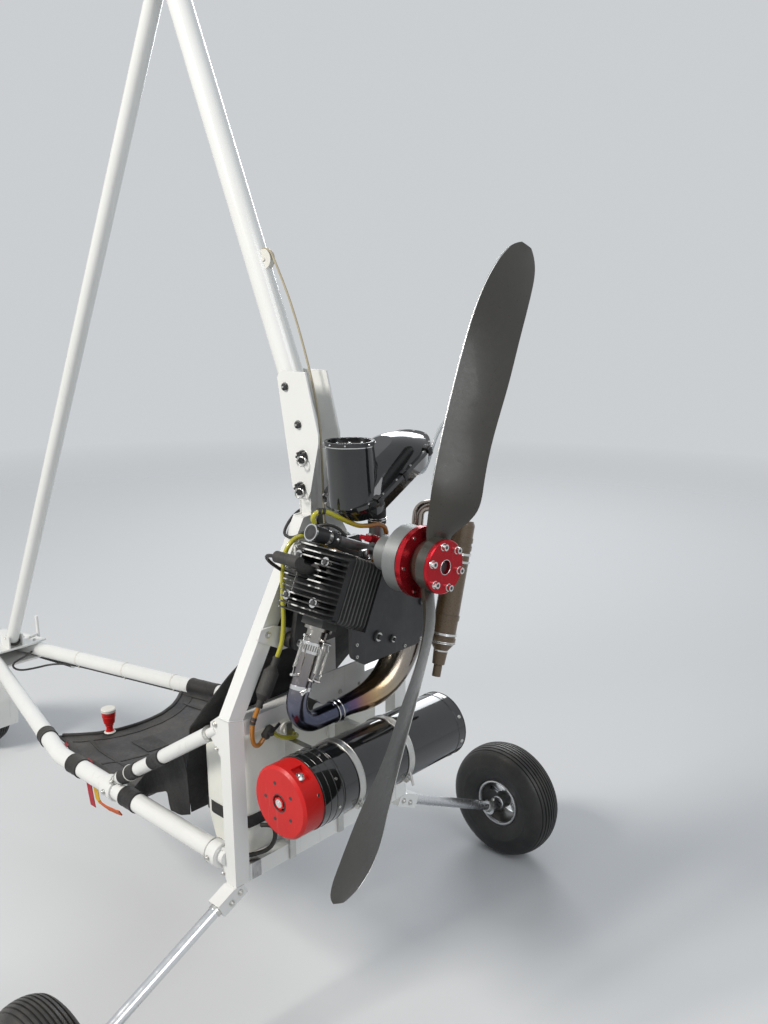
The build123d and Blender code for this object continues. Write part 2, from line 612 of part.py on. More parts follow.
# Engine cradle and rubbers
RUBBER_T = 18.0
cradle_y1 = CASE_Y0 - SEAT_GAP
cradle_y0 = cradle_y1 - 12
cradle = slab_y([(-110, 800), (110, 800), (110, 830), (75, 1000), (-75, 1000), (-110, 830)], cradle_y0, cradle_y1)
cradle = fillet(cradle.edges().filter_by(Axis.Y), 10)
write(cradle, "engine_cradle")
rubber_y1 = cradle_y0 - SEAT_GAP
rubber_y0 = rubber_y1 - RUBBER_T
rubber_table = [{"x": 98, "z": 815}, {"x": 55, "z": 985}]
rubbers = []
for rubber in rubber_table:
    one = rod((rubber["x"], rubber_y0, rubber["z"]), (rubber["x"], rubber_y1, rubber["z"]), 16)
    rubbers += both(one).solids()
write(Compound(rubbers), "engine_rubbers")
mount_y0 = frame_y1 + SEAT_GAP
mount_y1 = rubber_y0 - SEAT_GAP
mount_plate = slab_y([(176, 832), (166, 852), (132, 852), (80, 832), (80, 798), (116, 798)], mount_y0, mount_y1)
upper_plate = slab_y([(74, 1000), (36, 1000), (36, 970), (74, 970)], mount_y0, mount_y1)
mounts = []
for plate in (mount_plate, upper_plate):
    mounts += both(fillet(plate.edges().filter_by(Axis.Y), 6)).solids()
write(Compound(mounts), "mount_plates")

# Fuel hoses: tank to tap, tap to bulb, bulb to pump and pump to carburettor
HOSE_R = 4.5
BARB_R = 3.0
TAP_A = (174.0, -262.0, 633.0)
TAP_RUN = Vector(-1, 0, 0.9).normalized()
BULB_A = (191.0, -254.0, 706.0)
BULB_RUN = Vector(-45, 4, 86).normalized()
BULB_L = 97.0
bulb_out = BULB_L + SEAT_GAP
tank_to_tap = [(TANK_OUT_X, tank_back + 8 + SEAT_GAP, TANK_OUT_Z), (TANK_OUT_X, -278, TANK_OUT_Z), (87, -263, 608),
               (98, -254, 612), (113, -253, 615), (127, -257, 619), (139, -261, 625.6), (150.7, -262, 637.5)]
tap_to_bulb = [Vector(*TAP_A) - TAP_RUN * SEAT_GAP, Vector(*TAP_A) - TAP_RUN * 12, (192, -261.5, 623),
               (200, -260.5, 629), (204.5, -259, 642), (206, -257, 660), Vector(*BULB_A) - BULB_RUN * 30,
               Vector(*BULB_A) - BULB_RUN * SEAT_GAP]
bulb_to_pump = [Vector(*BULB_A) + BULB_RUN * bulb_out, Vector(*BULB_A) + BULB_RUN * (bulb_out + 32), (121, -253, 862),
                (119, -257, 902), (118, -257, 942), (116, -256, 978), (108, -252, 1008), (88, -245, 1026),
                (60, -236, 1022), (36, -230, 1004), (12, -226, 986), (-6, -215, 974), (-12, -196, 971),
                (-12, -176, 970.5), (-12, -158, 969), (-12, -145, 970), (-12, -136, 976.5), (-12, -134.5, 988)]
pump_to_carb = [(-42.8, -134, 1026.3), (-38, -134.5, 1040), (-22, -136, 1048), (2, -138, 1048), (26, -140, 1052),
                (48, -143, 1062), (70, -147, 1075), (92, -153, 1088), (106, -158, 1091.5), (117, -162.5, 1088),
                (119.5, -166, 1078.5), (113, -167.5, 1070)]


def barb(end, before, length):
    """Spigot that a hose's end meets, in line with the hose's last run."""
    lead = (Vector(*end) - Vector(*before)).normalized()
    start = Vector(*end) + lead * SEAT_GAP
    return rod(start, start + lead * length, BARB_R)


hoses = []
for route in (tank_to_tap, tap_to_bulb, bulb_to_pump, pump_to_carb):
    hoses += hose(route, HOSE_R).solids()
write(Compound(hoses), "fuel_hoses")

# Carburettor along the cylinder's upper side, its boot and the airbox
CARB_R = 15.0
CARB_Y = -168.0
CARB_OUT = (122.0, 1053.0)
CARB_IN = (INTAKE_X, 980.0)
THROAT_Z = 1038.0
AIR_TILT = 29.0
AIR_SPOT = (-46.0, -158.0, 1143.0)
FLANGE_H = 8.0
AIR_LOW = 34.0
air = Location(AIR_SPOT, (0, AIR_TILT, 0))
carb_a = Vector(CARB_OUT[0], CARB_Y, CARB_OUT[1])
carb_b = Vector(CARB_IN[0], CARB_Y, CARB_IN[1])
carb_run = (carb_b - carb_a).normalized()
carb_len = (carb_b - carb_a).length
carb = turned(
    carb_a,
    carb_b,
    [(0, 11), (0, CARB_R), (36, CARB_R), (36, 12), (50, 12), (50, CARB_R), (66, CARB_R), (66, 10), (carb_len, 10)],
)
carb += rod((INTAKE_X, CARB_Y, INTAKE_Z + SEAT_GAP), (INTAKE_X, CARB_Y, THROAT_Z), 16)
carb += Pos(INTAKE_X, CARB_Y, INTAKE_Z + SEAT_GAP + 3) * Box(56, 34, 6)
carb += barb(pump_to_carb[-1], pump_to_carb[-2], 14)
write(carb, "carburettor")
intake_boot = rod((INTAKE_X, CARB_Y, THROAT_Z + SEAT_GAP), (INTAKE_X, CARB_Y, AIR_SPOT[2]), 18)
intake_boot -= air * Pos(0, 0, 300 - AIR_LOW - SEAT_GAP) * Box(700, 700, 600)
write(intake_boot, "intake_boot")
AIR_L = 250.0
AIR_W = 146.0
upper = loft(
    [
        Pos(0, 0, FLANGE_H - 1) * RectangleRounded(AIR_L - 14, AIR_W - 14, 59),
        Pos(0, 0, 22) * RectangleRounded(AIR_L - 48, AIR_W - 28, 56),
        Pos(-6, 0, 37) * RectangleRounded(AIR_L - 112, AIR_W - 56, 40),
        Pos(-12, 0, 46) * RectangleRounded(AIR_L - 168, AIR_W - 92, 24),
    ]
)
upper += extrude(RectangleRounded(AIR_L, AIR_W, 66), amount=FLANGE_H)
SNOUT_LOW = (27.0, -148.0, 1090.0)
SNOUT_TOP = (40.0, -148.0, 1214.0)
SNOUT_LOW_R = 41.0
SNOUT_TOP_R = 37.0
SNOUT_OVAL = 15.0
SNOUT_LIP = 4.0
snout_turn = Rot(0, 0, -45)
snout_low = Pos(*SNOUT_LOW) * snout_turn * SlotCenterToCenter(SNOUT_OVAL, 2 * SNOUT_LOW_R)
snout_top = Pos(*SNOUT_TOP) * snout_turn * SlotCenterToCenter(SNOUT_OVAL, 2 * SNOUT_TOP_R)
snout = loft([snout_low, snout_top])
cutter = air * Pos(0, 0, -300 + 1) * Box(700, 700, 600)
airbox_upper = (air * upper) + (snout - cutter)
mouth = Pos(0, 0, -12) * Pos(*SNOUT_TOP) * snout_turn * SlotCenterToCenter(SNOUT_OVAL, 2 * (SNOUT_TOP_R - SNOUT_LIP))
airbox_upper -= extrude(mouth, amount=20, dir=(0, 0, 1))
write(airbox_upper, "airbox_upper")
lower = loft(
    [
        Pos(0, 0, -SEAT_GAP) * RectangleRounded(AIR_L - 6, AIR_W - 6, 62),
        Pos(0, 0, -14) * RectangleRounded(AIR_L - 22, AIR_W - 20, 56),
        Pos(0, 0, -AIR_LOW) * RectangleRounded(AIR_L - 32, AIR_W - 40, 48),
    ],
    ruled=True,
)
write(air * lower, "airbox_lower")

# Fuel pump on a stud of the crankcase
PUMP_AT = (-14.0, -134.0, 1016.0)
PUMP_TURN = 22.0
PUMP_L = 62.0
STUD_X = -38.0
pump = Box(PUMP_L, 30, 9) + Pos(0, 0, 6) * Box(PUMP_L - 22, 22, 5)
for end in (-1, 1):
    pump += Pos(end * (PUMP_L / 2 - 9), 0, 0) * Cylinder(7, 13)
pump = Location(PUMP_AT, (0, -PUMP_TURN, 0)) * pump
stud_z0 = CRANK_Z + CASE_R + 9 + SEAT_GAP
stud_z1 = PUMP_AT[2] + (STUD_X - PUMP_AT[0]) * math.tan(math.radians(PUMP_TURN))
pump += rod((STUD_X, PUMP_AT[1] + 4, stud_z0), (STUD_X, PUMP_AT[1] + 4, stud_z1), 4)
pump += barb(bulb_to_pump[-1], bulb_to_pump[-2], 26)
pump += barb(pump_to_carb[0], pump_to_carb[1], 22)
write(pump, "fuel_pump")

# Fuel tap behind the frame, and the squeeze bulb above it
tap = turned(TAP_A, Vector(*TAP_A) + TAP_RUN * 28, [(0, 6), (4, 9), (22, 9), (28, 6)])
tap += rod(Vector(*TAP_A) + TAP_RUN * 10, Vector(*TAP_A) + TAP_RUN * 10 + Vector(0, 14, 6), 4)
tap += barb(tank_to_tap[-1], tank_to_tap[-2], 10)
write(tap, "fuel_tap")
bulb_end = Vector(*BULB_A) + BULB_RUN * BULB_L
bulb = turned(BULB_A, bulb_end, [(0, 7), (14, 7), (26, 15), (BULB_L - 26, 15), (BULB_L - 14, 7), (BULB_L, 7)])
write(bulb, "fuel_bulb")

# Exhaust
port_face = cyl.from_local_coords((EXHAUST_Y - CYL_Y, -PORT_W - SEAT_GAP, PORT_U))
JOINT_X = 62.0
corner_x = port_face.X + (port_face.Z - HEADER_Z) * math.tan(tilt)
header = bent([port_face, (corner_x, EXHAUST_Y, HEADER_Z), (JOINT_X, EXHAUST_Y, HEADER_Z)], 46, HEADER_R)
port_run = cyl.y_dir * -1
header += rod(port_face, port_face + port_run * 6, 27)
header += rod(port_face + port_run * 34, port_face + port_run * 50, HEADER_R + 3)
header += rod((JOINT_X + 12, EXHAUST_Y, HEADER_Z), (JOINT_X, EXHAUST_Y, HEADER_Z), HEADER_R + 2)
HANGER_X = 60.0
HANGER_Z = 668.0
header += block(HANGER_X + 3, HANGER_X + 15, EXHAUST_Y - 24, EXHAUST_Y - 18, HANGER_Z - 14, HEADER_Z)
write(header, "exhaust_header")
chamber_table = [
    {"x": JOINT_X - SEAT_GAP, "z": HEADER_Z, "r": 20, "turn": -90},
    {"x": -6, "z": 685, "r": 25, "turn": -86},
    {"x": -70, "z": 702, "r": 32, "turn": -64},
    {"x": -118, "z": 748, "r": 36, "turn": -38},
    {"x": -146, "z": 824, "r": 38, "turn": -14},
    {"x": -160, "z": 920, "r": 38, "turn": -8},
]
rings = []
for row in chamber_table:
    rings.append(Location((row["x"], EXHAUST_Y, row["z"]), (0, row["turn"], 0)) * Circle(row["r"]))
chamber = loft(rings)
last = chamber_table[-1]
CONE_H = 84.0
chamber += Location((last["x"], EXHAUST_Y, last["z"]), (0, last["turn"], 0)) * Cone(
    last["r"], 15, CONE_H, align=(Align.CENTER, Align.CENTER, Align.MIN)
)
write(chamber, "expansion_chamber")
SIL_LOW = (-170.0, -100.0, 775.0)
SIL_HIGH = (-236.0, -100.0, 1021.0)
SIL_R = 25.0
BAND_T = 1.6
sil_low = Vector(*SIL_LOW)
sil_high = Vector(*SIL_HIGH)
sil_run = (sil_low - sil_high).normalized()
sil_len = (sil_low - sil_high).length
silencer_outline = [(0, 13), (0, SIL_R - 4), (8, SIL_R)]
for band in (34, 50, sil_len - 60, sil_len - 12):
    band_r = SIL_R + BAND_T
    silencer_outline += [(band, SIL_R), (band, band_r), (band + 10, band_r), (band + 10, SIL_R)]
silencer_outline += [(sil_len, SIL_R), (sil_len + 14, 15), (sil_len + 44, 13), (sil_len + 46, 9), (sil_len + 70, 9)]
write(turned(sil_high, sil_low, silencer_outline), "silencer")
chamber_lean = math.radians(-last["turn"])
chamber_run = Vector(-math.sin(chamber_lean), 0, math.cos(chamber_lean))
chamber_end = Vector(last["x"], EXHAUST_Y, last["z"]) + chamber_run * CONE_H
PIPE_RISE = 45.0
link_a = chamber_end + chamber_run * PIPE_RISE
link_b = sil_high - sil_run * PIPE_RISE
tail_start = chamber_end + chamber_run * SEAT_GAP
tail_stop = sil_high - sil_run * SEAT_GAP
tail_pipe = bent([tail_start, link_a, link_b, tail_stop], 20, 12)
write(tail_pipe, "tail_pipe")

# Hanger of the exhaust: a plate on the mid bar and a rubber bobbin
hanger = slab_y([(-114, 652), (-114, 712), (70, 712), (82, 700), (82, 652), (70, 642), (-104, 642)], mount_y0, mount_y0 + 4)
hanger = fillet(hanger.edges().filter_by(Axis.Y), 5)
hanger_y = mount_y0 + 4
hanger += rod((HANGER_X, hanger_y - 1, HANGER_Z), (HANGER_X, EXHAUST_Y - 24 - SEAT_GAP, HANGER_Z), 11)
write(hanger, "exhaust_hanger")

# Rescue canister, lying across the frame, with its red cap
can_body = rod((CAN_X0, CAN_Y, CAN_Z), (CAN_X1 - 44, CAN_Y, CAN_Z), CAN_R)
can_body += rod((CAN_X1 - 50, CAN_Y, CAN_Z), (CAN_X1, CAN_Y, CAN_Z), CAN_R + 3)
can_body -= rod((CAN_X0 - 5, CAN_Y, CAN_Z), (CAN_X0 + 3, CAN_Y, CAN_Z), CAN_R - 5)
write(can_body, "rescue_canister")
NOTCH_TURN = 28.6
cap_x0 = CAN_X1 + SEAT_GAP
canister_cap = turned(
    (cap_x0, CAN_Y, CAN_Z),
    (CAP_X1, CAN_Y, CAN_Z),
    [(0, CAP_R), (CAP_X1 - cap_x0 - 5, CAP_R), (CAP_X1 - cap_x0, CAP_R - 5)],
)
notch = Pos(cap_x0 + 20, CAN_Y, CAN_Z) * Rot(-NOTCH_TURN, 0, 0) * Pos(0, 0, CAP_R) * Box(26, 34, 22)
canister_cap -= notch
canister_cap -= rod((CAP_X1 - 8, CAN_Y, CAN_Z), (CAP_X1 + 9, CAN_Y, CAN_Z), 16)
canister_cap += rod((CAP_X1 - 10, CAN_Y, CAN_Z), (CAP_X1 + 1, CAN_Y, CAN_Z), 11)
write(canister_cap, "canister_cap")

# Straps of the canister, each on a saddle that stands on the frame's bars
STRAP_W = 15.0
band_table = [{"x": 104}, {"x": -34}]
bands = []
for row in band_table:
    x0 = row["x"] - STRAP_W / 2
    x1 = row["x"] + STRAP_W / 2
    strap = rod((x0, CAN_Y, CAN_Z), (x1, CAN_Y, CAN_Z), CAN_R + SEAT_GAP + 1.5)
    strap += block(x0, x1, mount_y0, mount_y0 + 6, POST_Z0 + 2, MID_TOP_Z - MID_H - 8)
    strap += block(x0, x1, mount_y0 + 5, CAN_Y - 40, CAN_Z - 30, CAN_Z + 30)
    strap += rod((row["x"] - 6, CAN_Y + 58, CAN_Z - 42), (row["x"] + 6, CAN_Y + 58, CAN_Z - 42), 5)
    strap -= rod((-300, CAN_Y, CAN_Z), (300, CAN_Y, CAN_Z), CAN_R + SEAT_GAP)
    bands += strap.solids()
write(Compound(bands), "canister_straps")

# Rescue handle standing on the seat's front edge
handle = turned(
    (90, -982, sling_top + SEAT_GAP),
    (90, -982, sling_top + 62),
    [(0, 11), (4, 11), (4, 8), (20, 9), (26, 14), (50, 17.5), (61.7, 18)],
)
write(handle, "rescue_handle")

# Propeller
drive = rod((0, -FLANGE_T, DRIVE_Z), (0, 0, DRIVE_Z), DRIVE_R)
for k in range(6):
    slot = Pos(0, -FLANGE_T, 51) * Rot(90, 0, 0) * extrude(RectangleRounded(26, 13, 6), amount=9, both=True)
    drive -= Pos(0, 0, DRIVE_Z) * Rot(0, 60 * k, 0) * slot
drive += rod((0, -70, DRIVE_Z), (0, 0, DRIVE_Z), SHAFT_R)
write(drive, "drive_flange")
blade_y = HUB_T / 2
# Blade sections: distance out, leading and trailing edge (across, aft), thickness
station_table = [
    {"r": 38, "lead": (28, -7), "trail": (-26, 11), "t": 22},
    {"r": 72, "lead": (42, -6), "trail": (-18, 22), "t": 22},
    {"r": 110, "lead": (55, -2), "trail": (-28, 42), "t": 17},
    {"r": 160, "lead": (62, -4), "trail": (-25, 44), "t": 13},
    {"r": 250, "lead": (68, -6.5), "trail": (-25.5, 36), "t": 11},
    {"r": 350, "lead": (71, -8.5), "trail": (-31, 33), "t": 9},
    {"r": 440, "lead": (73, -7), "trail": (-41, 23), "t": 8},
    {"r": 540, "lead": (62, 2), "trail": (-48, 15), "t": 6.5},
    {"r": 590, "lead": (36, 3), "trail": (-43, 9), "t": 5},
    {"r": 613, "lead": (6, 4), "trail": (-24, 6), "t": 3},
]


def blade_section(row):
    """Thin lens from the trailing to the leading edge, fuller on its forward face."""
    lead = Vector(*row["lead"])
    trail = Vector(*row["trail"])
    across = (lead - trail).normalized()
    normal = Vector(-across.Y, across.X)
    middle = (lead + trail) / 2
    front = middle - normal * (row["t"] * 0.62)
    rear = middle + normal * (row["t"] * 0.38)
    curve = Curve() + [ThreePointArc(trail, front, lead), ThreePointArc(lead, rear, trail)]
    return Pos(0, 0, row["r"]) * make_face(curve)


blade = loft([blade_section(row) for row in station_table])
hub_end = HUB_T / 2 - SEAT_GAP
HUB_FRONT_R = 40.0
hub = turned((0, -hub_end, 0), (0, hub_end, 0), [(0, HUB_FRONT_R), (HUB_T / 2, HUB_R), (2 * hub_end, HUB_R)])
propeller = hub + blade + Rot(0, 180, 0) * blade
propeller = Location((0, blade_y, DRIVE_Z), (0, -PROP_TURN, 0)) * propeller
write(propeller, "propeller")
plate_y1 = HUB_T + HUB_PLATE_T
hub_plate = turned((0, HUB_T, DRIVE_Z), (0, plate_y1, DRIVE_Z), [(0, HUB_PLATE_R), (6, HUB_PLATE_R), (HUB_PLATE_T, HUB_PLATE_R - 2)])
hub_plate -= rod((0, 0, DRIVE_Z), (0, 80, DRIVE_Z), 13)
for k in range(6):
    turn = math.radians(10 + 60 * k)
    nut_x = 39.5 * math.sin(turn)
    nut_z = DRIVE_Z + 39.5 * math.cos(turn)
    hub_plate += rod((nut_x, plate_y1 - 1, nut_z), (nut_x, plate_y1 + HUB_NUT_T, nut_z), 5.5)
write(hub_plate, "hub_plate")
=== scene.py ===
import math

import bmesh
import bpy
from mathutils import Matrix, Vector


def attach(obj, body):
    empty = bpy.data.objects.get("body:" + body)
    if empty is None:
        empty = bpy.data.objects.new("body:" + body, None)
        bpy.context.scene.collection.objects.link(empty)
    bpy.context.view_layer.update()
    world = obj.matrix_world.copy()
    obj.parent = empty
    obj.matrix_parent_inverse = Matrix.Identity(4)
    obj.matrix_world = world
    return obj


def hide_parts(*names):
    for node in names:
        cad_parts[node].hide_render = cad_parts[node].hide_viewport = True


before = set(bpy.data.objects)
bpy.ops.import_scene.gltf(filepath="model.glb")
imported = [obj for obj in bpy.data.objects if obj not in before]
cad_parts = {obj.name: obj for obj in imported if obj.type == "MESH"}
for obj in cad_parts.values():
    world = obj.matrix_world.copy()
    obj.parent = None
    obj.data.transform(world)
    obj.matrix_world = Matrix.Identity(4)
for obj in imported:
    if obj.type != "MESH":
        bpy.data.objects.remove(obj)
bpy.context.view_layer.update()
scene = bpy.context.scene
scene.view_settings.view_transform = "Standard"

# Camera at the photograph's viewing angle: behind the pilot's left shoulder, a little above
# the propeller, looking down at the trike.
look_yaw, look_down, look_roll = math.radians(46.54), math.radians(13.40), math.radians(-0.463)
level = math.cos(look_down)
look = Vector((-math.sin(look_yaw) * level, -math.cos(look_yaw) * level, -math.sin(look_down)))
across = look.cross(Vector((0, 0, 1))).normalized()
above = across.cross(look)
rolled_across = across * math.cos(look_roll) + above * math.sin(look_roll)
rolled_above = above * math.cos(look_roll) - across * math.sin(look_roll)
camera = bpy.data.objects.new("camera", bpy.data.cameras.new("camera"))
camera.data.lens = 35.14
camera.data.sensor_width = 36
camera.data.clip_end = 80
camera_at = (1.3111, 2.1663, 1.5107)
camera_turn = Matrix((rolled_across, rolled_above, -look)).transposed().to_4x4()
camera.matrix_world = Matrix.Translation(camera_at) @ camera_turn
scene.collection.objects.link(camera)
scene.camera = camera


# Floor and light: a pale studio floor that fades into a pale backdrop, one broad lamp from the
# pilot's front left, where the sun stands in the photograph, and two weaker ones.
def own_spot(tree):
    """Object coordinates, in which a pattern stays on its piece."""
    return tree.nodes.new("ShaderNodeTexCoord").outputs["Object"]


def mapped(tree, vector, **changes):
    """Mapping node that moves, turns or stretches coordinates."""
    node = tree.nodes.new("ShaderNodeMapping")
    tree.links.new(vector, node.inputs["Vector"])
    for socket, value in changes.items():
        node.inputs[socket].default_value = value
    return node.outputs["Vector"]


def ranged(tree, value, low, high, to_low=0.0, to_high=1.0):
    """Map Range node that spreads one span over another."""
    node = tree.nodes.new("ShaderNodeMapRange")
    tree.links.new(value, node.inputs["Value"])
    for socket, number in (("From Min", low), ("From Max", high), ("To Min", to_low), ("To Max", to_high)):
        node.inputs[socket].default_value = number
    return node.outputs["Result"]


def worked(tree, operation, first, second=0.0):
    """Math node of two sockets or numbers."""
    node = tree.nodes.new("ShaderNodeMath")
    node.operation = operation
    for socket, value in zip(node.inputs, (first, second)):
        if isinstance(value, (int, float)):
            socket.default_value = value
        else:
            tree.links.new(value, socket)
    return node.outputs["Value"]


def mixed(tree, share, first, second, end):
    """Two shaders mixed by a share and joined to the output."""
    node = tree.nodes.new("ShaderNodeMixShader")
    tree.links.new(share, node.inputs["Fac"])
    tree.links.new(first, node.inputs[1])
    tree.links.new(second, node.inputs[2])
    tree.links.new(node.outputs["Shader"], tree.nodes[end].inputs["Surface"])


floor_bm = bmesh.new()
bmesh.ops.create_circle(floor_bm, cap_ends=True, segments=96, radius=14)
floor_mesh = bpy.data.meshes.new("floor")
floor_bm.to_mesh(floor_mesh)
floor_bm.free()
floor = bpy.data.objects.new("floor", floor_mesh)
scene.collection.objects.link(floor)
floor_paint = bpy.data.materials.new("floor_paint")
floor_paint.use_nodes = True
floor_tree = floor_paint.node_tree
floor_shader = floor_tree.nodes["Principled BSDF"]
floor_shader.inputs["Base Color"].default_value = (0.60, 0.605, 0.61, 1)
floor_shader.inputs["Roughness"].default_value = 0.9
floor_fade = floor_tree.nodes.new("ShaderNodeTexGradient")
floor_fade.gradient_type = "SPHERICAL"
floor_spot = mapped(floor_tree, own_spot(floor_tree), Scale=(1 / 7, 1 / 7, 1 / 7))
floor_tree.links.new(floor_spot, floor_fade.inputs["Vector"])
floor_share = ranged(floor_tree, floor_fade.outputs["Fac"], 0.0, 0.72)
floor_clear = floor_tree.nodes.new("ShaderNodeBsdfTransparent")
mixed(floor_tree, floor_share, floor_clear.outputs["BSDF"], floor_shader.outputs["BSDF"], "Material Output")
floor_mesh.materials.append(floor_paint)

world = bpy.data.worlds.new("studio")
scene.world = world
world.use_nodes = True
sky = world.node_tree
sky_light = sky.nodes["Background"]
sky_light.inputs["Color"].default_value = (0.86, 0.93, 1.0, 1)
sky_light.inputs["Strength"].default_value = 0.38
sky_seen = sky.nodes.new("ShaderNodeBackground")
sky_seen.inputs["Color"].default_value = (0.60, 0.62, 0.64, 1)
sky_seen.inputs["Strength"].default_value = 1.0
rays = sky.nodes.new("ShaderNodeLightPath").outputs
seen_by = worked(sky, "MAXIMUM", rays["Is Camera Ray"], rays["Is Glossy Ray"])
seen_by = worked(sky, "MAXIMUM", seen_by, rays["Is Transmission Ray"])
mixed(sky, seen_by, sky_light.outputs["Background"], sky_seen.outputs["Background"], "World Output")

lamp_aim = Vector((0, 0.4, 0.8))
for lamp_name, lamp_at, lamp_size, lamp_watts, lamp_tint in (
    ("key_lamp", (4.4, -0.6, 4.6), 1.6, 290, (1.0, 0.96, 0.9)),
    ("back_lamp", (0.5, 5.0, 3.6), 3.0, 80, (0.95, 0.97, 1.0)),
    ("side_lamp", (-4.2, -2.2, 3.4), 2.6, 120, (0.94, 0.97, 1.0)),
):
    lamp = bpy.data.objects.new(lamp_name, bpy.data.lights.new(lamp_name, "AREA"))
    lamp.data.size = lamp_size
    lamp.data.energy = lamp_watts
    lamp.data.color = lamp_tint
    lamp.location = lamp_at
    lamp.rotation_euler = (lamp_aim - Vector(lamp_at)).to_track_quat("-Z", "Y").to_euler()
    scene.collection.objects.link(lamp)


# Rear frame: welded rectangular tube in white gloss paint, with a mid bar, a bottom bar and a
# short centre post. The weld beads show at every joint, and dust lies on what faces up.
def effect(name, inputs, outputs):
    """A shader node group with named sockets."""
    tree = bpy.data.node_groups.new(name, "ShaderNodeTree")
    for label, value in inputs:
        socket = tree.interface.new_socket(label, in_out="INPUT", socket_type="NodeSocketFloat")
        socket.default_value = value
    for label in outputs:
        tree.interface.new_socket(label, in_out="OUTPUT", socket_type="NodeSocketFloat")
    return tree, tree.nodes.new("NodeGroupInput"), tree.nodes.new("NodeGroupOutput")


def grained(tree, vector, scale, detail=3.0, roughness=0.55):
    """Noise texture at a given scale."""
    node = tree.nodes.new("ShaderNodeTexNoise")
    tree.links.new(vector, node.inputs["Vector"])
    if isinstance(scale, (int, float)):
        node.inputs["Scale"].default_value = scale
    else:
        tree.links.new(scale, node.inputs["Scale"])
    node.inputs["Detail"].default_value = detail
    node.inputs["Roughness"].default_value = roughness
    return node.outputs["Fac"]


def split(tree, vector):
    """The X, Y and Z of a vector."""
    node = tree.nodes.new("ShaderNodeSeparateXYZ")
    tree.links.new(vector, node.inputs[0])
    return node.outputs


handling, handling_in, handling_out = effect("handling_marks", [("Size", 9.0)], ["Broad", "Fine", "Scratch"])
handling_spot = own_spot(handling)
grain_size = handling_in.outputs["Size"]
handling.links.new(grained(handling, handling_spot, grain_size), handling_out.inputs["Broad"])
fine_size = worked(handling, "MULTIPLY", grain_size, 22.0)
handling.links.new(grained(handling, handling_spot, fine_size, 2.0), handling_out.inputs["Fine"])
scratch_spot = mapped(handling, handling_spot, Rotation=(0.4, 0.7, 0.2), Scale=(1.0, 1.0, 0.05))
scratch_size = worked(handling, "MULTIPLY", grain_size, 30.0)
scratch_lines = ranged(handling, grained(handling, scratch_spot, scratch_size, 1.0), 0.66, 0.7)
scratch_where = ranged(handling, grained(handling, handling_spot, grain_size, 1.0), 0.48, 0.6)
scratches = worked(handling, "MULTIPLY", scratch_lines, scratch_where)
handling.links.new(scratches, handling_out.inputs["Scratch"])

dusting, dusting_in, dusting_out = effect("settled_dust", [("Amount", 0.2)], ["Mask"])
dusting_spot = own_spot(dusting)
dusting_facing = dusting.nodes.new("ShaderNodeNewGeometry").outputs["Normal"]
dust_up = ranged(dusting, split(dusting, dusting_facing)["Z"], -0.2, 1.0, 0.15, 1.0)
dust_low = ranged(dusting, split(dusting, dusting_spot)["Z"], 0.75, 0.0, 0.35, 1.0)
dust_patch = ranged(dusting, grained(dusting, dusting_spot, 14.0, 6.0, 0.7), 0.35, 0.75)
dust_all = worked(dusting, "MULTIPLY", worked(dusting, "MULTIPLY", dust_up, dust_low), dust_patch)
dust_mask = worked(dusting, "MULTIPLY", dust_all, dusting_in.outputs["Amount"])
dusting.links.new(dust_mask, dusting_out.inputs["Mask"])
dust_colour = (0.36, 0.31, 0.24, 1)


def blended(tree, name, factor, first, second):
    """Colour mix node, its two sides colours or sockets."""
    node = tree.nodes.new("ShaderNodeMix")
    node.name = name
    node.data_type = "RGBA"
    tree.links.new(factor, node.inputs["Factor"])
    for socket, value in ((node.inputs[6], first), (node.inputs[7], second)):
        if isinstance(value, tuple):
            socket.default_value = (*value[:3], 1)
        else:
            tree.links.new(value, socket)
    return node.outputs[2]


def embossed(tree, height, strength, distance):
    """Sets what a finish's relief follows, and how deep it is."""
    relief = tree.nodes["relief"]
    relief.inputs["Strength"].default_value = strength
    relief.inputs["Distance"].default_value = distance
    tree.links.new(height, relief.inputs["Height"])


def surface(
    name, colour, other, size, rough, bump, metallic=0.0, dust=0.2, scratch=0.2, scratched=(0.5, 0.5, 0.5),
    own=None,
):
    """A worked finish: two tones, fine grain, scratches and dust, and the shader's own values."""
    material = bpy.data.materials.new(name)
    material.use_nodes = True
    tree = material.node_tree
    shader = tree.nodes["Principled BSDF"]
    for label, group, socket, value in (
        ("marks", handling, "Size", size),
        ("dirt", dusting, "Amount", dust),
    ):
        node = tree.nodes.new("ShaderNodeGroup")
        node.node_tree = group
        node.name = label
        node.inputs[socket].default_value = value
    marks = tree.nodes["marks"].outputs
    dirt = tree.nodes["dirt"].outputs["Mask"]
    tone = blended(tree, "tone", ranged(tree, marks["Broad"], 0.3, 0.7), colour, other)
    scuffed = blended(tree, "scuffed", worked(tree, "MULTIPLY", marks["Scratch"], scratch), tone, scratched)
    tree.links.new(blended(tree, "dusted", dirt, scuffed, dust_colour), shader.inputs["Base Color"])
    sheen = ranged(tree, marks["Fine"], 0.25, 0.75, rough[0], rough[1])
    dulled = worked(tree, "ADD", sheen, worked(tree, "MULTIPLY", dirt, 0.5))
    tree.links.new(dulled, shader.inputs["Roughness"])
    relief = tree.nodes.new("ShaderNodeBump")
    relief.name = "relief"
    embossed(tree, marks["Fine"], bump, 0.001)
    tree.links.new(relief.outputs["Normal"], shader.inputs["Normal"])
    shader.inputs["Metallic"].default_value = metallic
    for socket, value in (own or {}).items():
        shader.inputs[socket].default_value = value
    return material


def dressed(material, *names):
    """Puts a finish on pieces that came with the frame."""
    for name in names:
        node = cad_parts[name]
        node.data.materials.clear()
        node.data.materials.append(material)


def at(x, y, z):
    """A place in millimetres, Y from the rear face of the propeller's drive flange, in metres."""
    return Vector((x, y + 1023.5, z)) / 1000


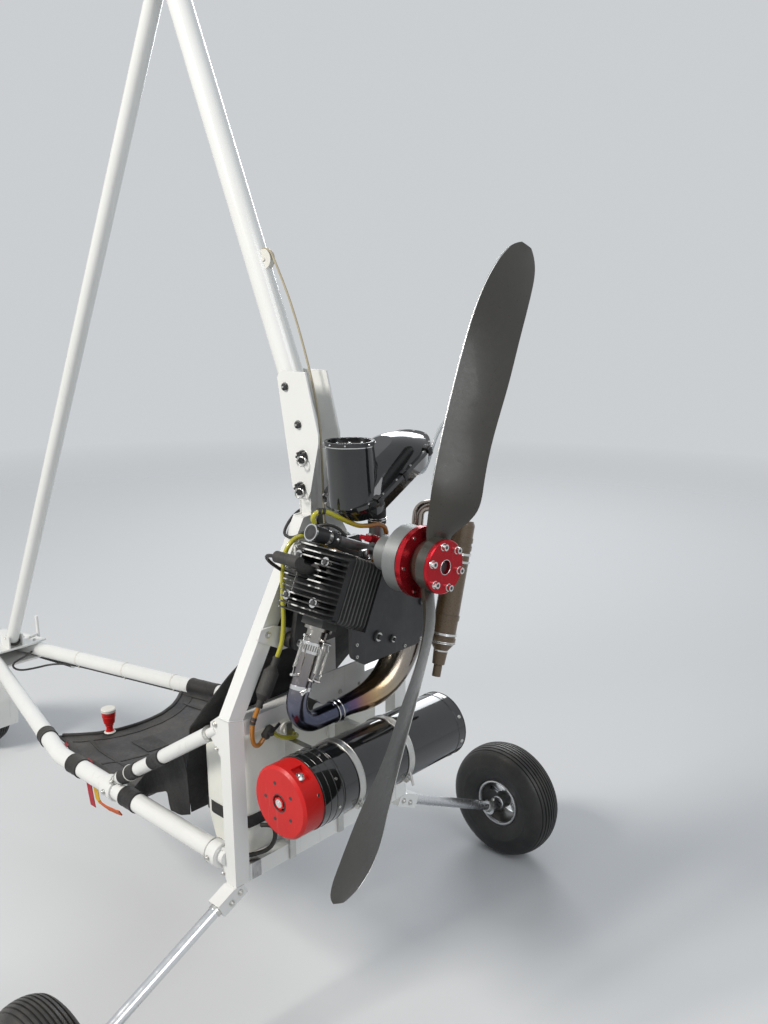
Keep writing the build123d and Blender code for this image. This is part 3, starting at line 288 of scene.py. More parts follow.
def laid(spot, direction):
    """Matrix that stands a shape's Z along a direction at a spot."""
    return Matrix.Translation(spot) @ Vector(direction).to_track_quat("Z", "Y").to_matrix().to_4x4()


def drum(bm, spot, direction, r0, r1, depth, sides=32):
    """A turned length in millimetres that starts at the spot."""
    middle = laid(spot + Vector(direction).normalized() * depth / 2000, direction)
    bmesh.ops.create_cone(
        bm, cap_ends=True, segments=sides, radius1=r0 / 1000, radius2=r1 / 1000, depth=depth / 1000,
        matrix=middle,
    )


def bolted(bm, spot, direction, r, washer=True):
    """Washer, hexagon head and its turned top, seated at the spot."""
    lift = Vector(direction).normalized() / 1000
    base = spot
    if washer:
        drum(bm, base, direction, r * 1.45, r * 1.45, r * 0.22, 24)
        base = base + lift * r * 0.22
    drum(bm, base, direction, r, r, r * 0.75, 6)
    drum(bm, base + lift * r * 0.75, direction, r * 0.86, r * 0.7, r * 0.16, 18)


def placed(piece, body):
    """Links a piece, so that it rides on its body."""
    scene.collection.objects.link(piece)
    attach(piece, body)
    return piece


def finished(name, bm, material, sharp=0.6, body="frame"):
    """Makes the bmesh a smooth-shaded piece that rides on its body."""
    bmesh.ops.recalc_face_normals(bm, faces=bm.faces)
    mesh = bpy.data.meshes.new(name)
    bm.to_mesh(mesh)
    bm.free()
    mesh.shade_smooth()
    mesh.set_sharp_from_angle(angle=sharp)
    mesh.materials.append(material)
    return placed(bpy.data.objects.new(name, mesh), body)


def beaded(bm, corners, r=2.2, pitch=3.6):
    """Weld bead of overlapping drops along straight runs, in millimetres."""
    for start, stop in zip(corners, corners[1:]):
        run = at(*stop) - at(*start)
        count = max(2, round(run.length * 1000 / pitch))
        for k in range(count):
            spot = at(*start) + run * ((k + 0.5) / count)
            shape = laid(spot, run) @ Matrix.Diagonal((r / 1000, r / 1000, r / 800, 1))
            bmesh.ops.create_uvsphere(bm, u_segments=8, v_segments=5, radius=1, matrix=shape)


white_paint = surface(
    "frame_paint", (0.80, 0.80, 0.78), (0.765, 0.765, 0.74), 4.0, (0.17, 0.20), 0.003, dust=0.14,
    scratch=0.12, scratched=(0.42, 0.41, 0.39), own={"Coat Weight": 0.35, "Coat Roughness": 0.08},
)
dressed(white_paint, "rear_posts", "upper_legs", "cross_bars", "centre_post", "neck_block")
front, rear = -303, -273
weld_bm = bmesh.new()
for side in (-1, 1):
    x = 214 * side
    for low, high in ((648, 680), (335, 370)):
        corners = [(x, rear, low), (x, rear, high), (x, front, high), (x, front, low), (x, rear, low)]
        beaded(weld_bm, corners)
    for y in (front, rear):
        beaded(weld_bm, [(249 * side, y, 690), (214 * side, y, 680.8)])
        beaded(weld_bm, [(33 * side, y, 680), (-33 * side, y, 680)])
        beaded(weld_bm, [(25 * side, y, 1052), (25 * side, y, 1078)])
        beaded(weld_bm, [(44 * side, y, 1050), (25 * side, y, 1051)])
    for x, z in ((249, 690), (33, 680), (44, 1050)):
        beaded(weld_bm, [(x * side, front, z), (x * side, rear, z)])
finished("frame_welds", weld_bm, white_paint, 1.2)

# Bolts of the rear frame: zinc-plated steel with washers, where the brackets, the engine's
# mount plates and the exhaust's hanger are screwed on.
zinc = surface(
    "zinc_plate", (0.66, 0.66, 0.63), (0.52, 0.52, 0.50), 40.0, (0.20, 0.40), 0.06, metallic=1.0, dust=0.10,
    scratch=0.3,
)
dressed(white_paint, "mount_plates", "exhaust_hanger", "tube_brackets", "leg_sockets")
frame_bolts = [  # x, y, z, direction, radius
    (150, -266.7, 838, (0, 1, 0), 5),
    (60, -266.7, 978, (0, 1, 0), 4),
    (249, -312, 352, (1, 0, 0), 4),
    (249, -312, 396, (1, 0, 0), 4),
    (249, -313, 621, (1, 0, 0), 3.5),
    (249, -315, 672, (1, 0, 0), 4.5),
    (270.5, -716, 387, (1, 0, 0), 4.5),
    (258, -699, 413, (1, 0, 0), 4.5),
    (270.5, -333, 387, (1, 0, 0), 4),
    (262, -271.7, 309, (0, 1, 0), 4.5),
    (240, -271.7, 322, (0, 1, 0), 4.5),
    (262, -304.3, 309, (0, -1, 0), 4.5),
    (240, -304.3, 322, (0, -1, 0), 4.5),
]
bolt_bm = bmesh.new()
for side in (-1, 1):
    for x, y, z, towards, r in frame_bolts:
        bolted(bolt_bm, at(x * side, y, z), (towards[0] * side, *towards[1:]), r)
for x in (-98, -40, 30):
    bolted(bolt_bm, at(x, -268.7, 660), (0, 1, 0), 3.5)
finished("frame_bolts", bolt_bm, zinc, 0.5)


# Side braces: white tubes, each with a bare ring where its clevis is pinned.
def mirrored(start, run, side, along):
    """Place and direction on either side, in millimetres along a run that the left side has."""
    mirror_x = Vector((side, 1, 1))
    return (start + run * along / 1000) * mirror_x, run * mirror_x


dressed(white_paint, "side_braces", "base_tubes")
brace_foot, brace_head = at(245, -716, 402), at(245, -322, 655)
brace_run = (brace_head - brace_foot).normalized()
ring_bm = bmesh.new()
for side in (-1, 1):
    for along in (37.6, 444):
        drum(ring_bm, *mirrored(brace_foot, brace_run, side, along), 16.2, 16.2, 3, 40)
    for along in (16, 28):
        drum(ring_bm, *mirrored(brace_foot, brace_run, side, along), 12.2, 12.2, 4, 32)
    drum(ring_bm, at(245 * side, -345.5, 387), (0, 1, 0), 26.2, 26.2, 2.6, 48)
finished("tube_rings", ring_bm, zinc, 0.5)


# Bare patch on the bottom bar, polished by the sling that carries the trike: thin wrapped
# steel tape with turned edges.
def edges_of(verts):
    """Every edge that meets these points."""
    return list({edge for vert in verts for edge in vert.link_edges})


def eased(bm, verts, edge, segments=2):
    """Rounds a block's edges, in millimetres."""
    bmesh.ops.bevel(
        bm, geom=edges_of(verts), offset=edge / 1000, offset_type="OFFSET", segments=segments,
        affect="EDGES", profile=0.5, material=-1,
    )


def blocked(bm, place, size, edge, segments=2):
    """Block with rounded edges, its sizes in millimetres, at a place's matrix."""
    sized = place @ Matrix.Diagonal((size[0] / 1000, size[1] / 1000, size[2] / 1000, 1))
    made = bmesh.ops.create_cube(bm, size=1, matrix=sized)
    eased(bm, made["verts"], edge, segments)


tape_bm = bmesh.new()
blocked(tape_bm, Matrix.Translation(at(196, -288, 352.5)), (24, 31.2, 36.2), 1.2)
worn_steel = surface(
    "worn_steel_tape", (0.30, 0.30, 0.31), (0.48, 0.48, 0.48), 60.0, (0.22, 0.40), 0.1, metallic=1.0,
    dust=0.15,
)
finished("bar_tape", tape_bm, worn_steel, 0.5)

# Axle legs: bare aluminium tube pushed into the welded sockets, with the stub axle's boss at
# the lower end; drawing lines run along them.
aluminium = surface(
    "drawn_aluminium", (0.76, 0.77, 0.78), (0.68, 0.69, 0.71), 3.0, (0.18, 0.30), 0.02, metallic=1.0,
    dust=0.06, scratch=0.05,
)
dressed(aluminium, "axle_legs")
leg_top, leg_foot = at(228, -288, 330), at(602, -288, 150)
leg_run = (leg_foot - leg_top).normalized()
collar_bm = bmesh.new()
for side in (-1, 1):
    drum(collar_bm, *mirrored(leg_top, leg_run, side, 66.3), 13.6, 13.6, 7, 40)
    drum(collar_bm, *mirrored(leg_top, leg_run, side, 386), 13.2, 16.4, 12, 40)
    bolted(collar_bm, at(606 * side, -288, 167), (0, 0, 1), 4)
finished("leg_collars", collar_bm, zinc, 0.5)


# Wheels: cast aluminium rims of two bolted halves, with narrow ribs in five pairs over a black skin inside
# the rim that paints the shade of its well, and ribbed tyres of black rubber, greyed by dust near the
# ground.
def looped(bm, places):
    """A closed line of points, and its edges."""
    ring = [bm.verts.new(place) for place in places]
    return ring, [bm.edges.new(pair) for pair in zip(ring, [*ring[1:], ring[0]])]


def turned(bm, geom, centre, axis, steps):
    """Spins a section round a full turn."""
    bmesh.ops.spin(bm, geom=geom, cent=centre, axis=axis, angle=math.tau, steps=steps, use_merge=True)


def spun(bm, half, centre, steps):
    """Spins a section of radius and half width, mirrored, about the axle."""
    section = [*half, *[(r, -w) for r, w in reversed(half) if w > 0]]
    ring, edges = looped(bm, [centre + Vector((w, 0, r)) / 1000 for r, w in section])
    turned(bm, ring + edges, centre, (1, 0, 0), steps)


def spread(count, start, first, second):
    """Directions spread evenly round an axis, from the first one towards the second."""
    for k in range(count):
        turn = start + math.tau * k / count
        yield Vector(first) * math.cos(turn) + Vector(second) * math.sin(turn)


tyre_rubber = surface(
    "tyre_rubber", (0.010, 0.010, 0.010), (0.019, 0.0185, 0.018), 14.0, (0.36, 0.56), 0.2, dust=0.16,
    scratch=0.03,
)
cast_rim = surface(
    "cast_rim", (0.70, 0.71, 0.72), (0.60, 0.61, 0.62), 16.0, (0.22, 0.42), 0.08, metallic=1.0, dust=0.30
)
# Black finish of the skin inside each rim: painted shade of the rim's well.
shade_black_finish = surface("rim_inner_painted_shade", (0.012, 0.012, 0.012), (0.022, 0.021, 0.020), 16.0, (0.45, 0.65), 0.1)
wheel_r = 150
tyre_wall = [  # radius, half width
    (60.6, 33.2), (64, 36.2), (66.5, 39.8), (69, 40.4), (72, 42.6), (80, 46.2), (90, 48.8), (97, 49.4),
    (98.5, 50), (101.5, 50), (103, 49.6), (112, 49.6), (122, 47.8), (130, 44.8), (136, 41.2), (140, 38),
]
tread = []
for groove in (32.5, 23, 13.5, 4.5):
    for aside, deep in ((2.0, 0.2), (1.1, 3.2), (-1.1, 3.2), (-2.0, 0.2)):
        wide = groove + aside
        tread.append((wheel_r - 10 * (wide / 38) ** 2.3 - deep, wide))
rim_ring = [(63.4, 32.6), (60.2, 37.4), (57.4, 38.2), (55.6, 36.8), (54.8, 33), (52.4, 13), (52.4, 0)]
inner_shade_section = [(54.6, 31), (54.2, 31), (51.9, 12.8), (51.9, 0)]
rim_hub = [(10.2, 0), (10.2, 35.6), (15.5, 35.6), (17.5, 33.5), (19, 20), (22, 11), (22, 0)]
rib_size = Matrix.Diagonal((0.016, 0.0042, 0.034, 1))
for name, x, y in (("left", 660, -288), ("right", -660, -288), ("nose", 0, -1955)):
    centre = at(x, y, wheel_r)
    outward = -1 if x < 0 else 1
    body = name + "_wheel"
    tyre_bm = bmesh.new()
    spun(tyre_bm, [*tyre_wall, *tread], centre, 96)
    tyre = finished(name + "_tyre_ribbed", tyre_bm, tyre_rubber, 0.75, body)
    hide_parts(name + "_tyre")
    rim_bm = bmesh.new()
    spun(rim_bm, rim_ring, centre, 72)
    spun(rim_bm, rim_hub, centre, 48)
    for k in range(10):
        turn = Matrix.Rotation(math.tau * (k // 2) / 5 + 0.2 * (k % 2), 4, "X")
        spoke = Matrix.Translation(centre) @ turn @ Matrix.Translation((outward * 0.014, 0, 0.037))
        rib = bmesh.ops.create_cube(rim_bm, size=1, matrix=spoke @ rib_size)["verts"]
        outer_end = spoke @ Matrix.Translation((0, 0, 0.017))
        ends = [vert for vert in rib if (spoke.inverted() @ vert.co).z > 0]
        bmesh.ops.scale(rim_bm, verts=ends, vec=(1.2, 1.7, 1), space=outer_end.inverted())
        eased(rim_bm, rib, 1.2)
    rim = finished(name + "_rim_cast", rim_bm, cast_rim, 0.6, body)
    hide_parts(name + "_rim")
    # Black skin inside each rim, just within the cast rim: painted shade of the well, seen between the ribs.
    shade_skin_bm = bmesh.new()
    spun(shade_skin_bm, inner_shade_section, centre, 72)
    finished(name + "_rim_painted_shade", shade_skin_bm, shade_black_finish, 0.6, body)
    nut_bm = bmesh.new()
    for side in (-1, 1) if x == 0 else (outward,):
        bolted(nut_bm, centre + Vector((side * 0.0362, 0, 0)), (side, 0, 0), 9)
    for out in spread(5, math.tau / 10, (0, 0, 1), (0, 1, 0)):
        spot = centre + Vector((outward * 0.0305, 0, 0)) + out * 0.0565
        bolted(nut_bm, spot, (outward, 0, 0), 2.6, False)
    drum(nut_bm, centre + Vector((outward * 0.034, 0.046, 0)), (outward * 0.6, 0.8, 0), 3, 2.6, 16, 16)
    finished(name + "_wheel_nuts", nut_bm, zinc, 0.5, body)

# Nose joint: two cut plates above and below the base tubes, the steering head welded between
# them and the front strut's foot on top, all in white gloss paint and bolted through.
dressed(white_paint, "nose_joint", "front_strut")
nose_bm = bmesh.new()
for side in (-1, 1):
    for x, y in ((40, -1770), (54, -1713), (67, -1664)):
        bolted(nose_bm, at(x * side, y, 413.3), (0, 0, 1), 4)
        bolted(nose_bm, at(x * side, y, 360.7), (0, 0, -1), 4)
    bolted(nose_bm, at(18.6 * side, -1666, 443), (side, 0, 0), 5)
finished("nose_bolts", nose_bm, zinc, 0.5)
nose_weld_bm = bmesh.new()
strut_turns = [math.tau * k / 24 for k in range(25)]
beaded(nose_weld_bm, [(19 * math.sin(turn), -1683 + 22 * math.cos(turn), 414.5) for turn in strut_turns])
finished("nose_welds", nose_weld_bm, white_paint, 1.2)

# Steering fork: bent white plate legs on a crown, a nut over the steering head, the wheel's
# bolt at the foot, and a mudguard of thin white sheet with a rolled rim.
dressed(white_paint, "nose_fork", "mudguard")
fork_bm = bmesh.new()
bolted(fork_bm, at(0, -1847, 456), (0, 0.2588, 0.9659), 9)
for side in (-1, 1):
    bolted(fork_bm, at(62 * side, -1955, 150), (side, 0, 0), 9)
    bolted(fork_bm, at(62 * side, -1942, 262), (side, 0, 0), 3.5)
finished("fork_bolts", fork_bm, zinc, 0.5, "nose_fork_body")

# Foot pegs: steel tube with ribbed sleeves of black rubber pushed on, a washer at each end.
rubber = surface(
    "black_rubber", (0.016, 0.016, 0.016), (0.034, 0.033, 0.031), 20.0, (0.5, 0.78), 0.25, dust=0.28,
    scratch=0.08,
)
dressed(rubber, "foot_pegs")
peg_bm, peg_end_bm = bmesh.new(), bmesh.new()
for side in (-1, 1):
    peg_start, peg_stop = at(121 * side, -1745, 328), at(150 * side, -1588, 328)
    peg_run = (peg_stop - peg_start).normalized()
    peg_length = (peg_stop - peg_start).length * 1000
    for k in range(13):
        along = 6 + k * (peg_length - 16) / 12
        drum(peg_bm, peg_start + peg_run * along / 1000, peg_run, 11.4, 11.4, 4, 28)
    drum(peg_end_bm, peg_stop, peg_run, 11.8, 11.8, 1.6, 28)
    drum(peg_end_bm, peg_stop, peg_run, 7, 6, 4, 18)
finished("peg_ribs", peg_bm, rubber, 0.7, "nose_fork_body")
finished("peg_washers", peg_end_bm, zinc, 0.5, "nose_fork_body")

# Throttle pedal: a white rod on a pivot, pulling a black cable that is tied under the right
# base tube, climbs the right post and crosses the frame's neck to the carburettor.
dressed(white_paint, "throttle_pedal")


def cable(name, route, r, material, body="frame"):
    """Round cable or hose through given points in millimetres, held at its ends and ties."""
    curve = bpy.data.curves.new(name, "CURVE")
    curve.dimensions = "3D"
    curve.bevel_depth = r / 1000
    curve.bevel_resolution = 3
    curve.use_fill_caps = True
    line = curve.splines.new("NURBS")
    line.points.add(len(route) - 1)
    for point, place in zip(line.points, route):
        point.co = (*at(*place), 1)
    line.order_u = 3
    line.use_endpoint_u = True
    line.resolution_u = 8
    curve.materials.append(material)
    return placed(bpy.data.objects.new(name, curve), body)


cable_jacket = surface(
    "cable_jacket", (0.012, 0.012, 0.013), (0.026, 0.026, 0.026), 30.0, (0.35, 0.5), 0.06, dust=0.15,
    scratch=0.0,
)
throttle_route = [
    (-97, -1694, 380), (-62, -1660, 384), (-18, -1626, 384), (26, -1618, 380), (34, -1616, 366),
    (14, -1612, 350), (-30, -1606, 346), (-76, -1580, 354), (-104, -1515, 362), (-146, -1346, 362),
    (-188, -1178, 362), (-226, -1020, 362), (-236, -950, 362), (-236, -800, 362), (-234, -560, 362),
    (-226, -400, 363), (-223, -330, 372), (-223, -308, 410), (-223, -307.5, 560), (-223, -307.5, 680),
    (-170, -307.5, 790), (-110, -307.5, 910), (-40, -307.5, 1042), (10, -307.5, 1062), (46, -307.5, 1046),
    (70, -306, 1020), (74, -290, 1013), (72, -268, 1016), (80, -225, 1040), (62, -190, 1056),
    (38, -170, 1040), (33, -168, 1024),
]
cable("throttle_cable", throttle_route, 3.0, cable_jacket)
tie_bm = bmesh.new()
for y in (-1480, -1300, -1120):
    tie_x = -(30 + 0.25 * (y + 1810))
    drum(tie_bm, at(tie_x, y, 387), (-0.2425, 0.9701, 0), 21.8, 21.8, 3.6, 40)
    drum(tie_bm, at(tie_x + 4, y, 362.5), (-0.2425, 0.9701, 0), 3.6, 3.6, 3.6, 16)
white_nylon = surface(
    "white_nylon", (0.74, 0.73, 0.68), (0.66, 0.64, 0.58), 30.0, (0.35, 0.5), 0.05, scratch=0.0
)
finished("cable_ties", tie_bm, white_nylon)
clamp_bm = bmesh.new()
drum(clamp_bm, at(-97, -1698, 376), (0.03, 0.02, 1), 7.5, 7.5, 5, 24)
drum(clamp_bm, at(-101, -1698, 368), (1, 0, 0), 4.6, 4.6, 14, 20)
drum(clamp_bm, at(0, -1667, 428), (0, 0.4915, 0.871), 20.2, 20.2, 5, 40)
finished("pedal_clamps", clamp_bm, rubber)

# Mast: a large white tube that leans forward, pinned between two cut plates on the frame's neck. Two knobs
# with split rings, which let the real mast fold, and two screws carry it.
dressed(white_paint, "mast", "mast_side_plates", "hang_plates")
dressed(aluminium, "hang_block")


def hoop(bm, centre, axis, ring, r, steps=36):
    """Ring of round wire or cord, its sizes in millimetres."""
    towards = Vector(axis).normalized()
    aside = towards.orthogonal().normalized()
    start = laid(centre + aside * ring / 1000, towards.cross(aside))
    made = bmesh.ops.create_circle(bm, segments=10, radius=r / 1000, matrix=start)["verts"]
    turned(bm, made + edges_of(made), centre, towards, steps)


black_satin = surface(
    "black_satin", (0.020, 0.020, 0.022), (0.040, 0.040, 0.042), 18.0, (0.30, 0.50), 0.08, dust=0.12,
    scratched=(0.3, 0.3, 0.3),
)
dressed(black_satin, "mast_pins")
plate_face = 29.3
knob_bm, ring_wire_bm = bmesh.new(), bmesh.new()
for side in (-1, 1):
    for y, z, r, thick, is_knob in (
        (-333, 1299, 7, 5, False),
        (-298, 1228, 7, 5, False),
        (-287, 1166, 11, 7, True),
        (-295, 1102, 11, 7, True),
    ):
        outside = (side, 0, 0)
        face = at((plate_face + thick) * side, y, z)
        drum(ring_wire_bm, at(plate_face * side, y, z), outside, r * 1.32, r * 1.32, 1.2, 36)
        if is_knob:
            for out in spread(8, 0, (0, 0, 1), (0, 1, 0)):
                lobe = face + Vector((-0.004 * side, 0, 0)) + out * 0.0098
                drum(knob_bm, lobe, outside, 3.2, 2.6, 6.5, 12)
            drum(knob_bm, face, outside, 9, 6.5, 3, 28)
            drum(ring_wire_bm, face, outside, 3, 2.4, 6.5, 16)
            for lift, tilt in ((0.0035, (0.35, 0.25)), (0.0051, (0.28, 0.32))):
                hoop(ring_wire_bm, face + Vector((lift * side, 0.007, -0.007)), (side, *tilt), 9.5, 0.9)
        else:
            drum(knob_bm, face, outside, r, r * 0.7, 2, 6)
            drum(ring_wire_bm, face + Vector((0.002 * side, 0, 0)), outside, 2.6, 2.2, 2.5, 14)
finished("mast_knobs", knob_bm, black_satin, 0.5)
finished("mast_rings", ring_wire_bm, zinc)

# Starter line: a pale braided cord that runs from the starter up behind the mast to a small
# pale pulley within the pilot's reach.
cord_beige = surface(
    "braided_cord", (0.46, 0.40, 0.28), (0.36, 0.31, 0.21), 400.0, (0.6, 0.85), 0.4, dust=0.1, scratch=0.0
)
starter_route = [
    (0, -262, 1010), (0, -264, 1120), (0, -268, 1230), (0, -290, 1322), (0, -338, 1450), (0, -388, 1540),
    (0, -404, 1562), (0, -421, 1560),
]
cable("starter_line", starter_route, 2.2, cord_beige)
pulley_bm = bmesh.new()
pulley_at = at(0, -412, 1541)
for side in (-1, 1):
    drum(pulley_bm, pulley_at, (side, 0, 0), 15, 18, 5, 36)
    drum(pulley_bm, pulley_at + Vector((0.0052 * side, 0, 0)), (side, 0, 0), 19, 19, 1.2, 36)
drum(pulley_bm, at(-9, -412, 1541), (1, 0, 0), 4, 4, 18, 18)
finished("starter_pulley", pulley_bm, white_nylon)
guide_bm = bmesh.new()
drum(guide_bm, at(0, -262, 1001), (0, 0, 1), 9, 6, 14, 24)
drum(guide_bm, at(0, -262, 1005), (0, 1, 0), 5, 5, 14, 18)
finished("starter_guide", guide_bm, black_satin)


# Seat: a sling of black cordura, sewn in two layers, that hangs between sleeves on the base
# tubes and climbs the frame behind the pilot. Hems of doubled cloth are sewn round its edge.
def laced(points, value):
    """Straight-line reading of a short table of pairs."""
    for (x0, y0), (x1, y1) in zip(points, points[1:]):
        if value <= x1:
            return y0 + (y1 - y0) * (value - x0) / (x1 - x0)
    return points[-1][1]


def threaded(tree, vector, directions, scale, distortion=0.0):
    """Waves that run with a weave's threads."""
    waves = []
    for direction in directions:
        wave = tree.nodes.new("ShaderNodeTexWave")
        wave.bands_direction = direction
        wave.inputs["Scale"].default_value = scale
        wave.inputs["Distortion"].default_value = distortion
        tree.links.new(vector, wave.inputs["Vector"])
        waves.append(wave.outputs["Fac"])
    return waves


def cordura(name, colour, other):
    """Coarse plain weave with a dull sheen."""
    sheen = {"Sheen Weight": 0.06, "Sheen Roughness": 0.5}
    material = surface(name, colour, other, 9.0, (0.62, 0.82), 0.0, dust=0.22, scratch=0.0, own=sheen)
    tree = material.node_tree
    threads = threaded(tree, own_spot(tree), "XY", 190, 0.6)
    embossed(tree, worked(tree, "MAXIMUM", *threads), 0.35, 0.0006)
    return material


# The sling's grey is the cloth's sunlit tone, painted light. The darker copy is the black of the hems,
# webbing and side gussets, and on the seat back, the same cloth as the sling, it is painted shade.
sunlit_seat_cloth = cordura("seat_cordura_sunlit_tone", (0.021, 0.021, 0.024), (0.030, 0.030, 0.033))
hem_black_and_shade_cloth = cordura("seat_hem_and_shade", (0.006, 0.006, 0.007), (0.011, 0.011, 0.012))
sling_sides = [(-1066, 188), (-1020, 196), (-950, 214), (-636, 214)]
sling_rise = [(378, -640), (392, -629), (450, -577), (552, -497)]


def sling_spot(u, t):
    """Middle of the sling's cloth, u across from side to side and t from front to back."""
    side = abs(u)
    if t < 0.7:
        s = t / 0.7
        y_front = -972 - 94 * side**2.26
        y = y_front * (1 - s) - 640 * s
        half = laced(sling_sides, -1066 * (1 - s) - 640 * s)
        belly = math.sin(math.pi * min(1, s * 1.05)) * (1 - side**2)
        fold = math.sin(side * 23 + s * 9) * math.sin(s * 17 - side * 4) * (0.25 + side * 0.75)
        return at(u * half, y, 378.4 - 5.6 * belly + 1.3 * fold)
    s = (t - 0.7) / 0.3
    height = 378.4 + 172 * s
    fold = math.sin(u * 15 + s * 5) * (0.3 + 0.7 * s)
    return at(u * (214 - 14 * min(1, s * 3)), laced(sling_rise, height) + 1.6 * fold, height)


def cloth(bm, spot_of, across, along, thick):
    """A sewn panel: a grid laid by its own rule of place, then given its thickness."""
    made = bmesh.ops.create_grid(bm, x_segments=across, y_segments=along, size=1)
    for vert in made["verts"]:
        vert.co = spot_of(vert.co.x, (vert.co.y + 1) / 2)
    flat_area = sum(face.calc_area() for face in bm.faces)
    bm.normal_update()
    bmesh.ops.solidify(bm, geom=bm.faces[:], thickness=thick / 1000)
    return flat_area


def hemmed(bm, spot_of, strip, off, across, along, thick):
    """Hem sewn on a panel, by its middle and half width across it, and its start and length."""
    u_middle, u_half, t_start, t_long = strip

    def spot(u, t):
        return spot_of(u_middle + u_half * u, t_start + t_long * t) + off

    part_bm = bmesh.new()
    cloth(part_bm, spot, across, along, thick)
    part_mesh = bpy.data.meshes.new("hem_part")
    part_bm.to_mesh(part_mesh)
    part_bm.free()
    bm.from_mesh(part_mesh)
    bpy.data.meshes.remove(part_mesh)


sling_bm = bmesh.new()
sling_area = cloth(sling_bm, sling_spot, 44, 56, 2.0)
sling = finished("seat_sling", sling_bm, sunlit_seat_cloth, 1.0)
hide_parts("seat_base")
hem_bm = bmesh.new()
for lift, strip in (
    (0.0016, (0, 1, 0.002, 0.075)),
    (0.0016, (0.96, 0.035, 0, 0.69)),
    (0.0016, (-0.96, -0.035, 0, 0.69)),
    (0.0013, (0.74, 0.02, 0.05, 0.64)),
    (0.0013, (-0.74, -0.02, 0.05, 0.64)),
    (0.0013, (0, 0.9, 0.33, 0.012)),
    (0.0017, (0.235, 0.135, 0.16, 0.155)),
):
    hemmed(hem_bm, sling_spot, strip, Vector((0, 0, lift)), 26, 26, 1.0)
sling_hem = finished("seat_sling_hems", hem_bm, hem_black_and_shade_cloth, 1.0)


# Rolled binding along the sling's concave front edge, and the sleeves that carry the cloth:
# loops of doubled cordura round the base tubes and the side braces, with turned rims.
def measured(spot):
    """A place of the scene back in millimetres, as at() takes them."""
    return spot.x * 1000, spot.y * 1000 - 1023.5, spot.z * 1000


def sleeved(bm, middle, run, bore, length):
    """Cloth loop round a tube, thicker along its two turned rims."""
    towards = Vector(run).normalized()
    aside = towards.orthogonal().normalized()
    section = [  # share of the length, height over the bore
        (-0.5, 1.7), (-0.47, 2.7), (-0.4, 2.7), (-0.36, 1.9), (-0.1, 2.3), (0.1, 2.0), (0.36, 1.9),
        (0.4, 2.7), (0.47, 2.7), (0.5, 1.7), (0.5, 0.35), (-0.5, 0.35),
    ]
    spots = [middle + (towards * length * s + aside * (bore + lift)) / 1000 for s, lift in section]
    ring, edges = looped(bm, spots)
    turned(bm, ring + edges, middle, towards, 40)


binding_spots = [sling_spot(-0.96 + 1.92 * k / 16, 0.004) + Vector((0, 0, 0.0015)) for k in range(17)]
binding = cable("seat_binding", [measured(spot) for spot in binding_spots], 5.6, hem_black_and_shade_cloth)
sleeve_bm = bmesh.new()
for side, y, length in (
    (1, -1062, 34), (-1, -1012, 96), (1, -868, 46), (-1, -868, 46), (1, -640, 50), (-1, -640, 50),
):
    slope = 0.25 if y < -950 else 0
    sleeve_x = 245 - slope * (-950 - y)
    sleeved(sleeve_bm, at(sleeve_x * side, y, 387), (slope * side, 1, 0), 21, length)
for side in (-1, 1):
    for along, length in ((92, 78), (226, 50)):
        sleeved(sleeve_bm, *mirrored(brace_foot, brace_run, side, along), 15, length)
sleeves = finished("seat_sleeves", sleeve_bm, hem_black_and_shade_cloth, 0.9)
thread_bm = bmesh.new()
for side in (-1, 1):
    hoop(thread_bm, *mirrored(brace_foot, brace_run, side, 92), 17.4, 1.3)
finished("brace_marks", thread_bm, white_nylon, 1.0)

# Seat back: one long panel of the same cloth, given the darker copy of it as painted shade, that narrows up
# to the neck of the frame, with a webbing hem on each side and two cross seams, pulled back a little between
# them.
back_halves = [
    (396, 200), (500, 207.7), (602, 207.7), (687, 207.7), (745, 187), (811, 149), (883, 108), (1045, 30),
]
back_fronts = [
    (396, -490), (500, -486), (602, -468), (687, -392), (745, -352), (811, -309), (883, -309), (1045, -309),
]


def back_spot(u, t):
    """Middle of the seat back's cloth, u across and t from bottom to top."""
    height = 398 + 645 * t
    half = laced(back_halves, height) - 1
    front = laced(back_fronts, height)
    slack = (1 - u * u) * math.sin(math.pi * min(1, t * 1.6)) if t < 0.625 else 0
    fold = math.sin(u * 9 + t * 21) * math.sin(t * 34) * 0.9 * abs(u)
    return at(u * half, front - 0.5 + 5.5 - 3.2 * slack + fold, height)


back_bm = bmesh.new()
back_area = cloth(back_bm, back_spot, 32, 90, 2.4)
seat_back = finished("seat_back_cloth", back_bm, hem_black_and_shade_cloth, 1.0)
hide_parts("seat_back")
back_hem_bm = bmesh.new()
for strip in ((0.93, 0.06, 0, 1), (-0.93, -0.06, 0, 1), (0, 0.86, 0.30, 0.03), (0, 0.86, 0.53, 0.03)):
    hemmed(back_hem_bm, back_spot, strip, Vector((0, -0.0016, 0)), 20, 60, 1.4)
back_hem = finished("seat_back_hems", back_hem_bm, sunlit_seat_cloth, 1.0)

# Seat sides: a black gusset on each side between the sling, the brace and the back, whose
# loose rear corner hangs down as a flap.
gusset_low = [(-684, 383), (-644, 384), (-556, 424), (-548, 381), (-504, 388), (-474, 400)]
gusset_high = [(-684, 385), (-640, 434), (-520, 512), (-488, 556), (-474, 500)]


def gusset_rule(side):
    """Place of a side panel's cloth."""
    def spot(u, t):
        y = -684 + 210 * (u + 1) / 2
        low, high = laced(gusset_low, y), laced(gusset_high, y)
        z = low + (high - low) * t
        wave = math.sin(y * 0.07 + z * 0.03) * 1.4
        return at(side * (211 + wave), y, z)
    return spot


for side, name in ((1, "left"), (-1, "right")):
    gusset_bm = bmesh.new()
    gusset_area = cloth(gusset_bm, gusset_rule(side), 44, 20, 1.8)
    gusset = finished("seat_side_" + name, gusset_bm, hem_black_and_shade_cloth, 1.0)
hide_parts("seat_sides")

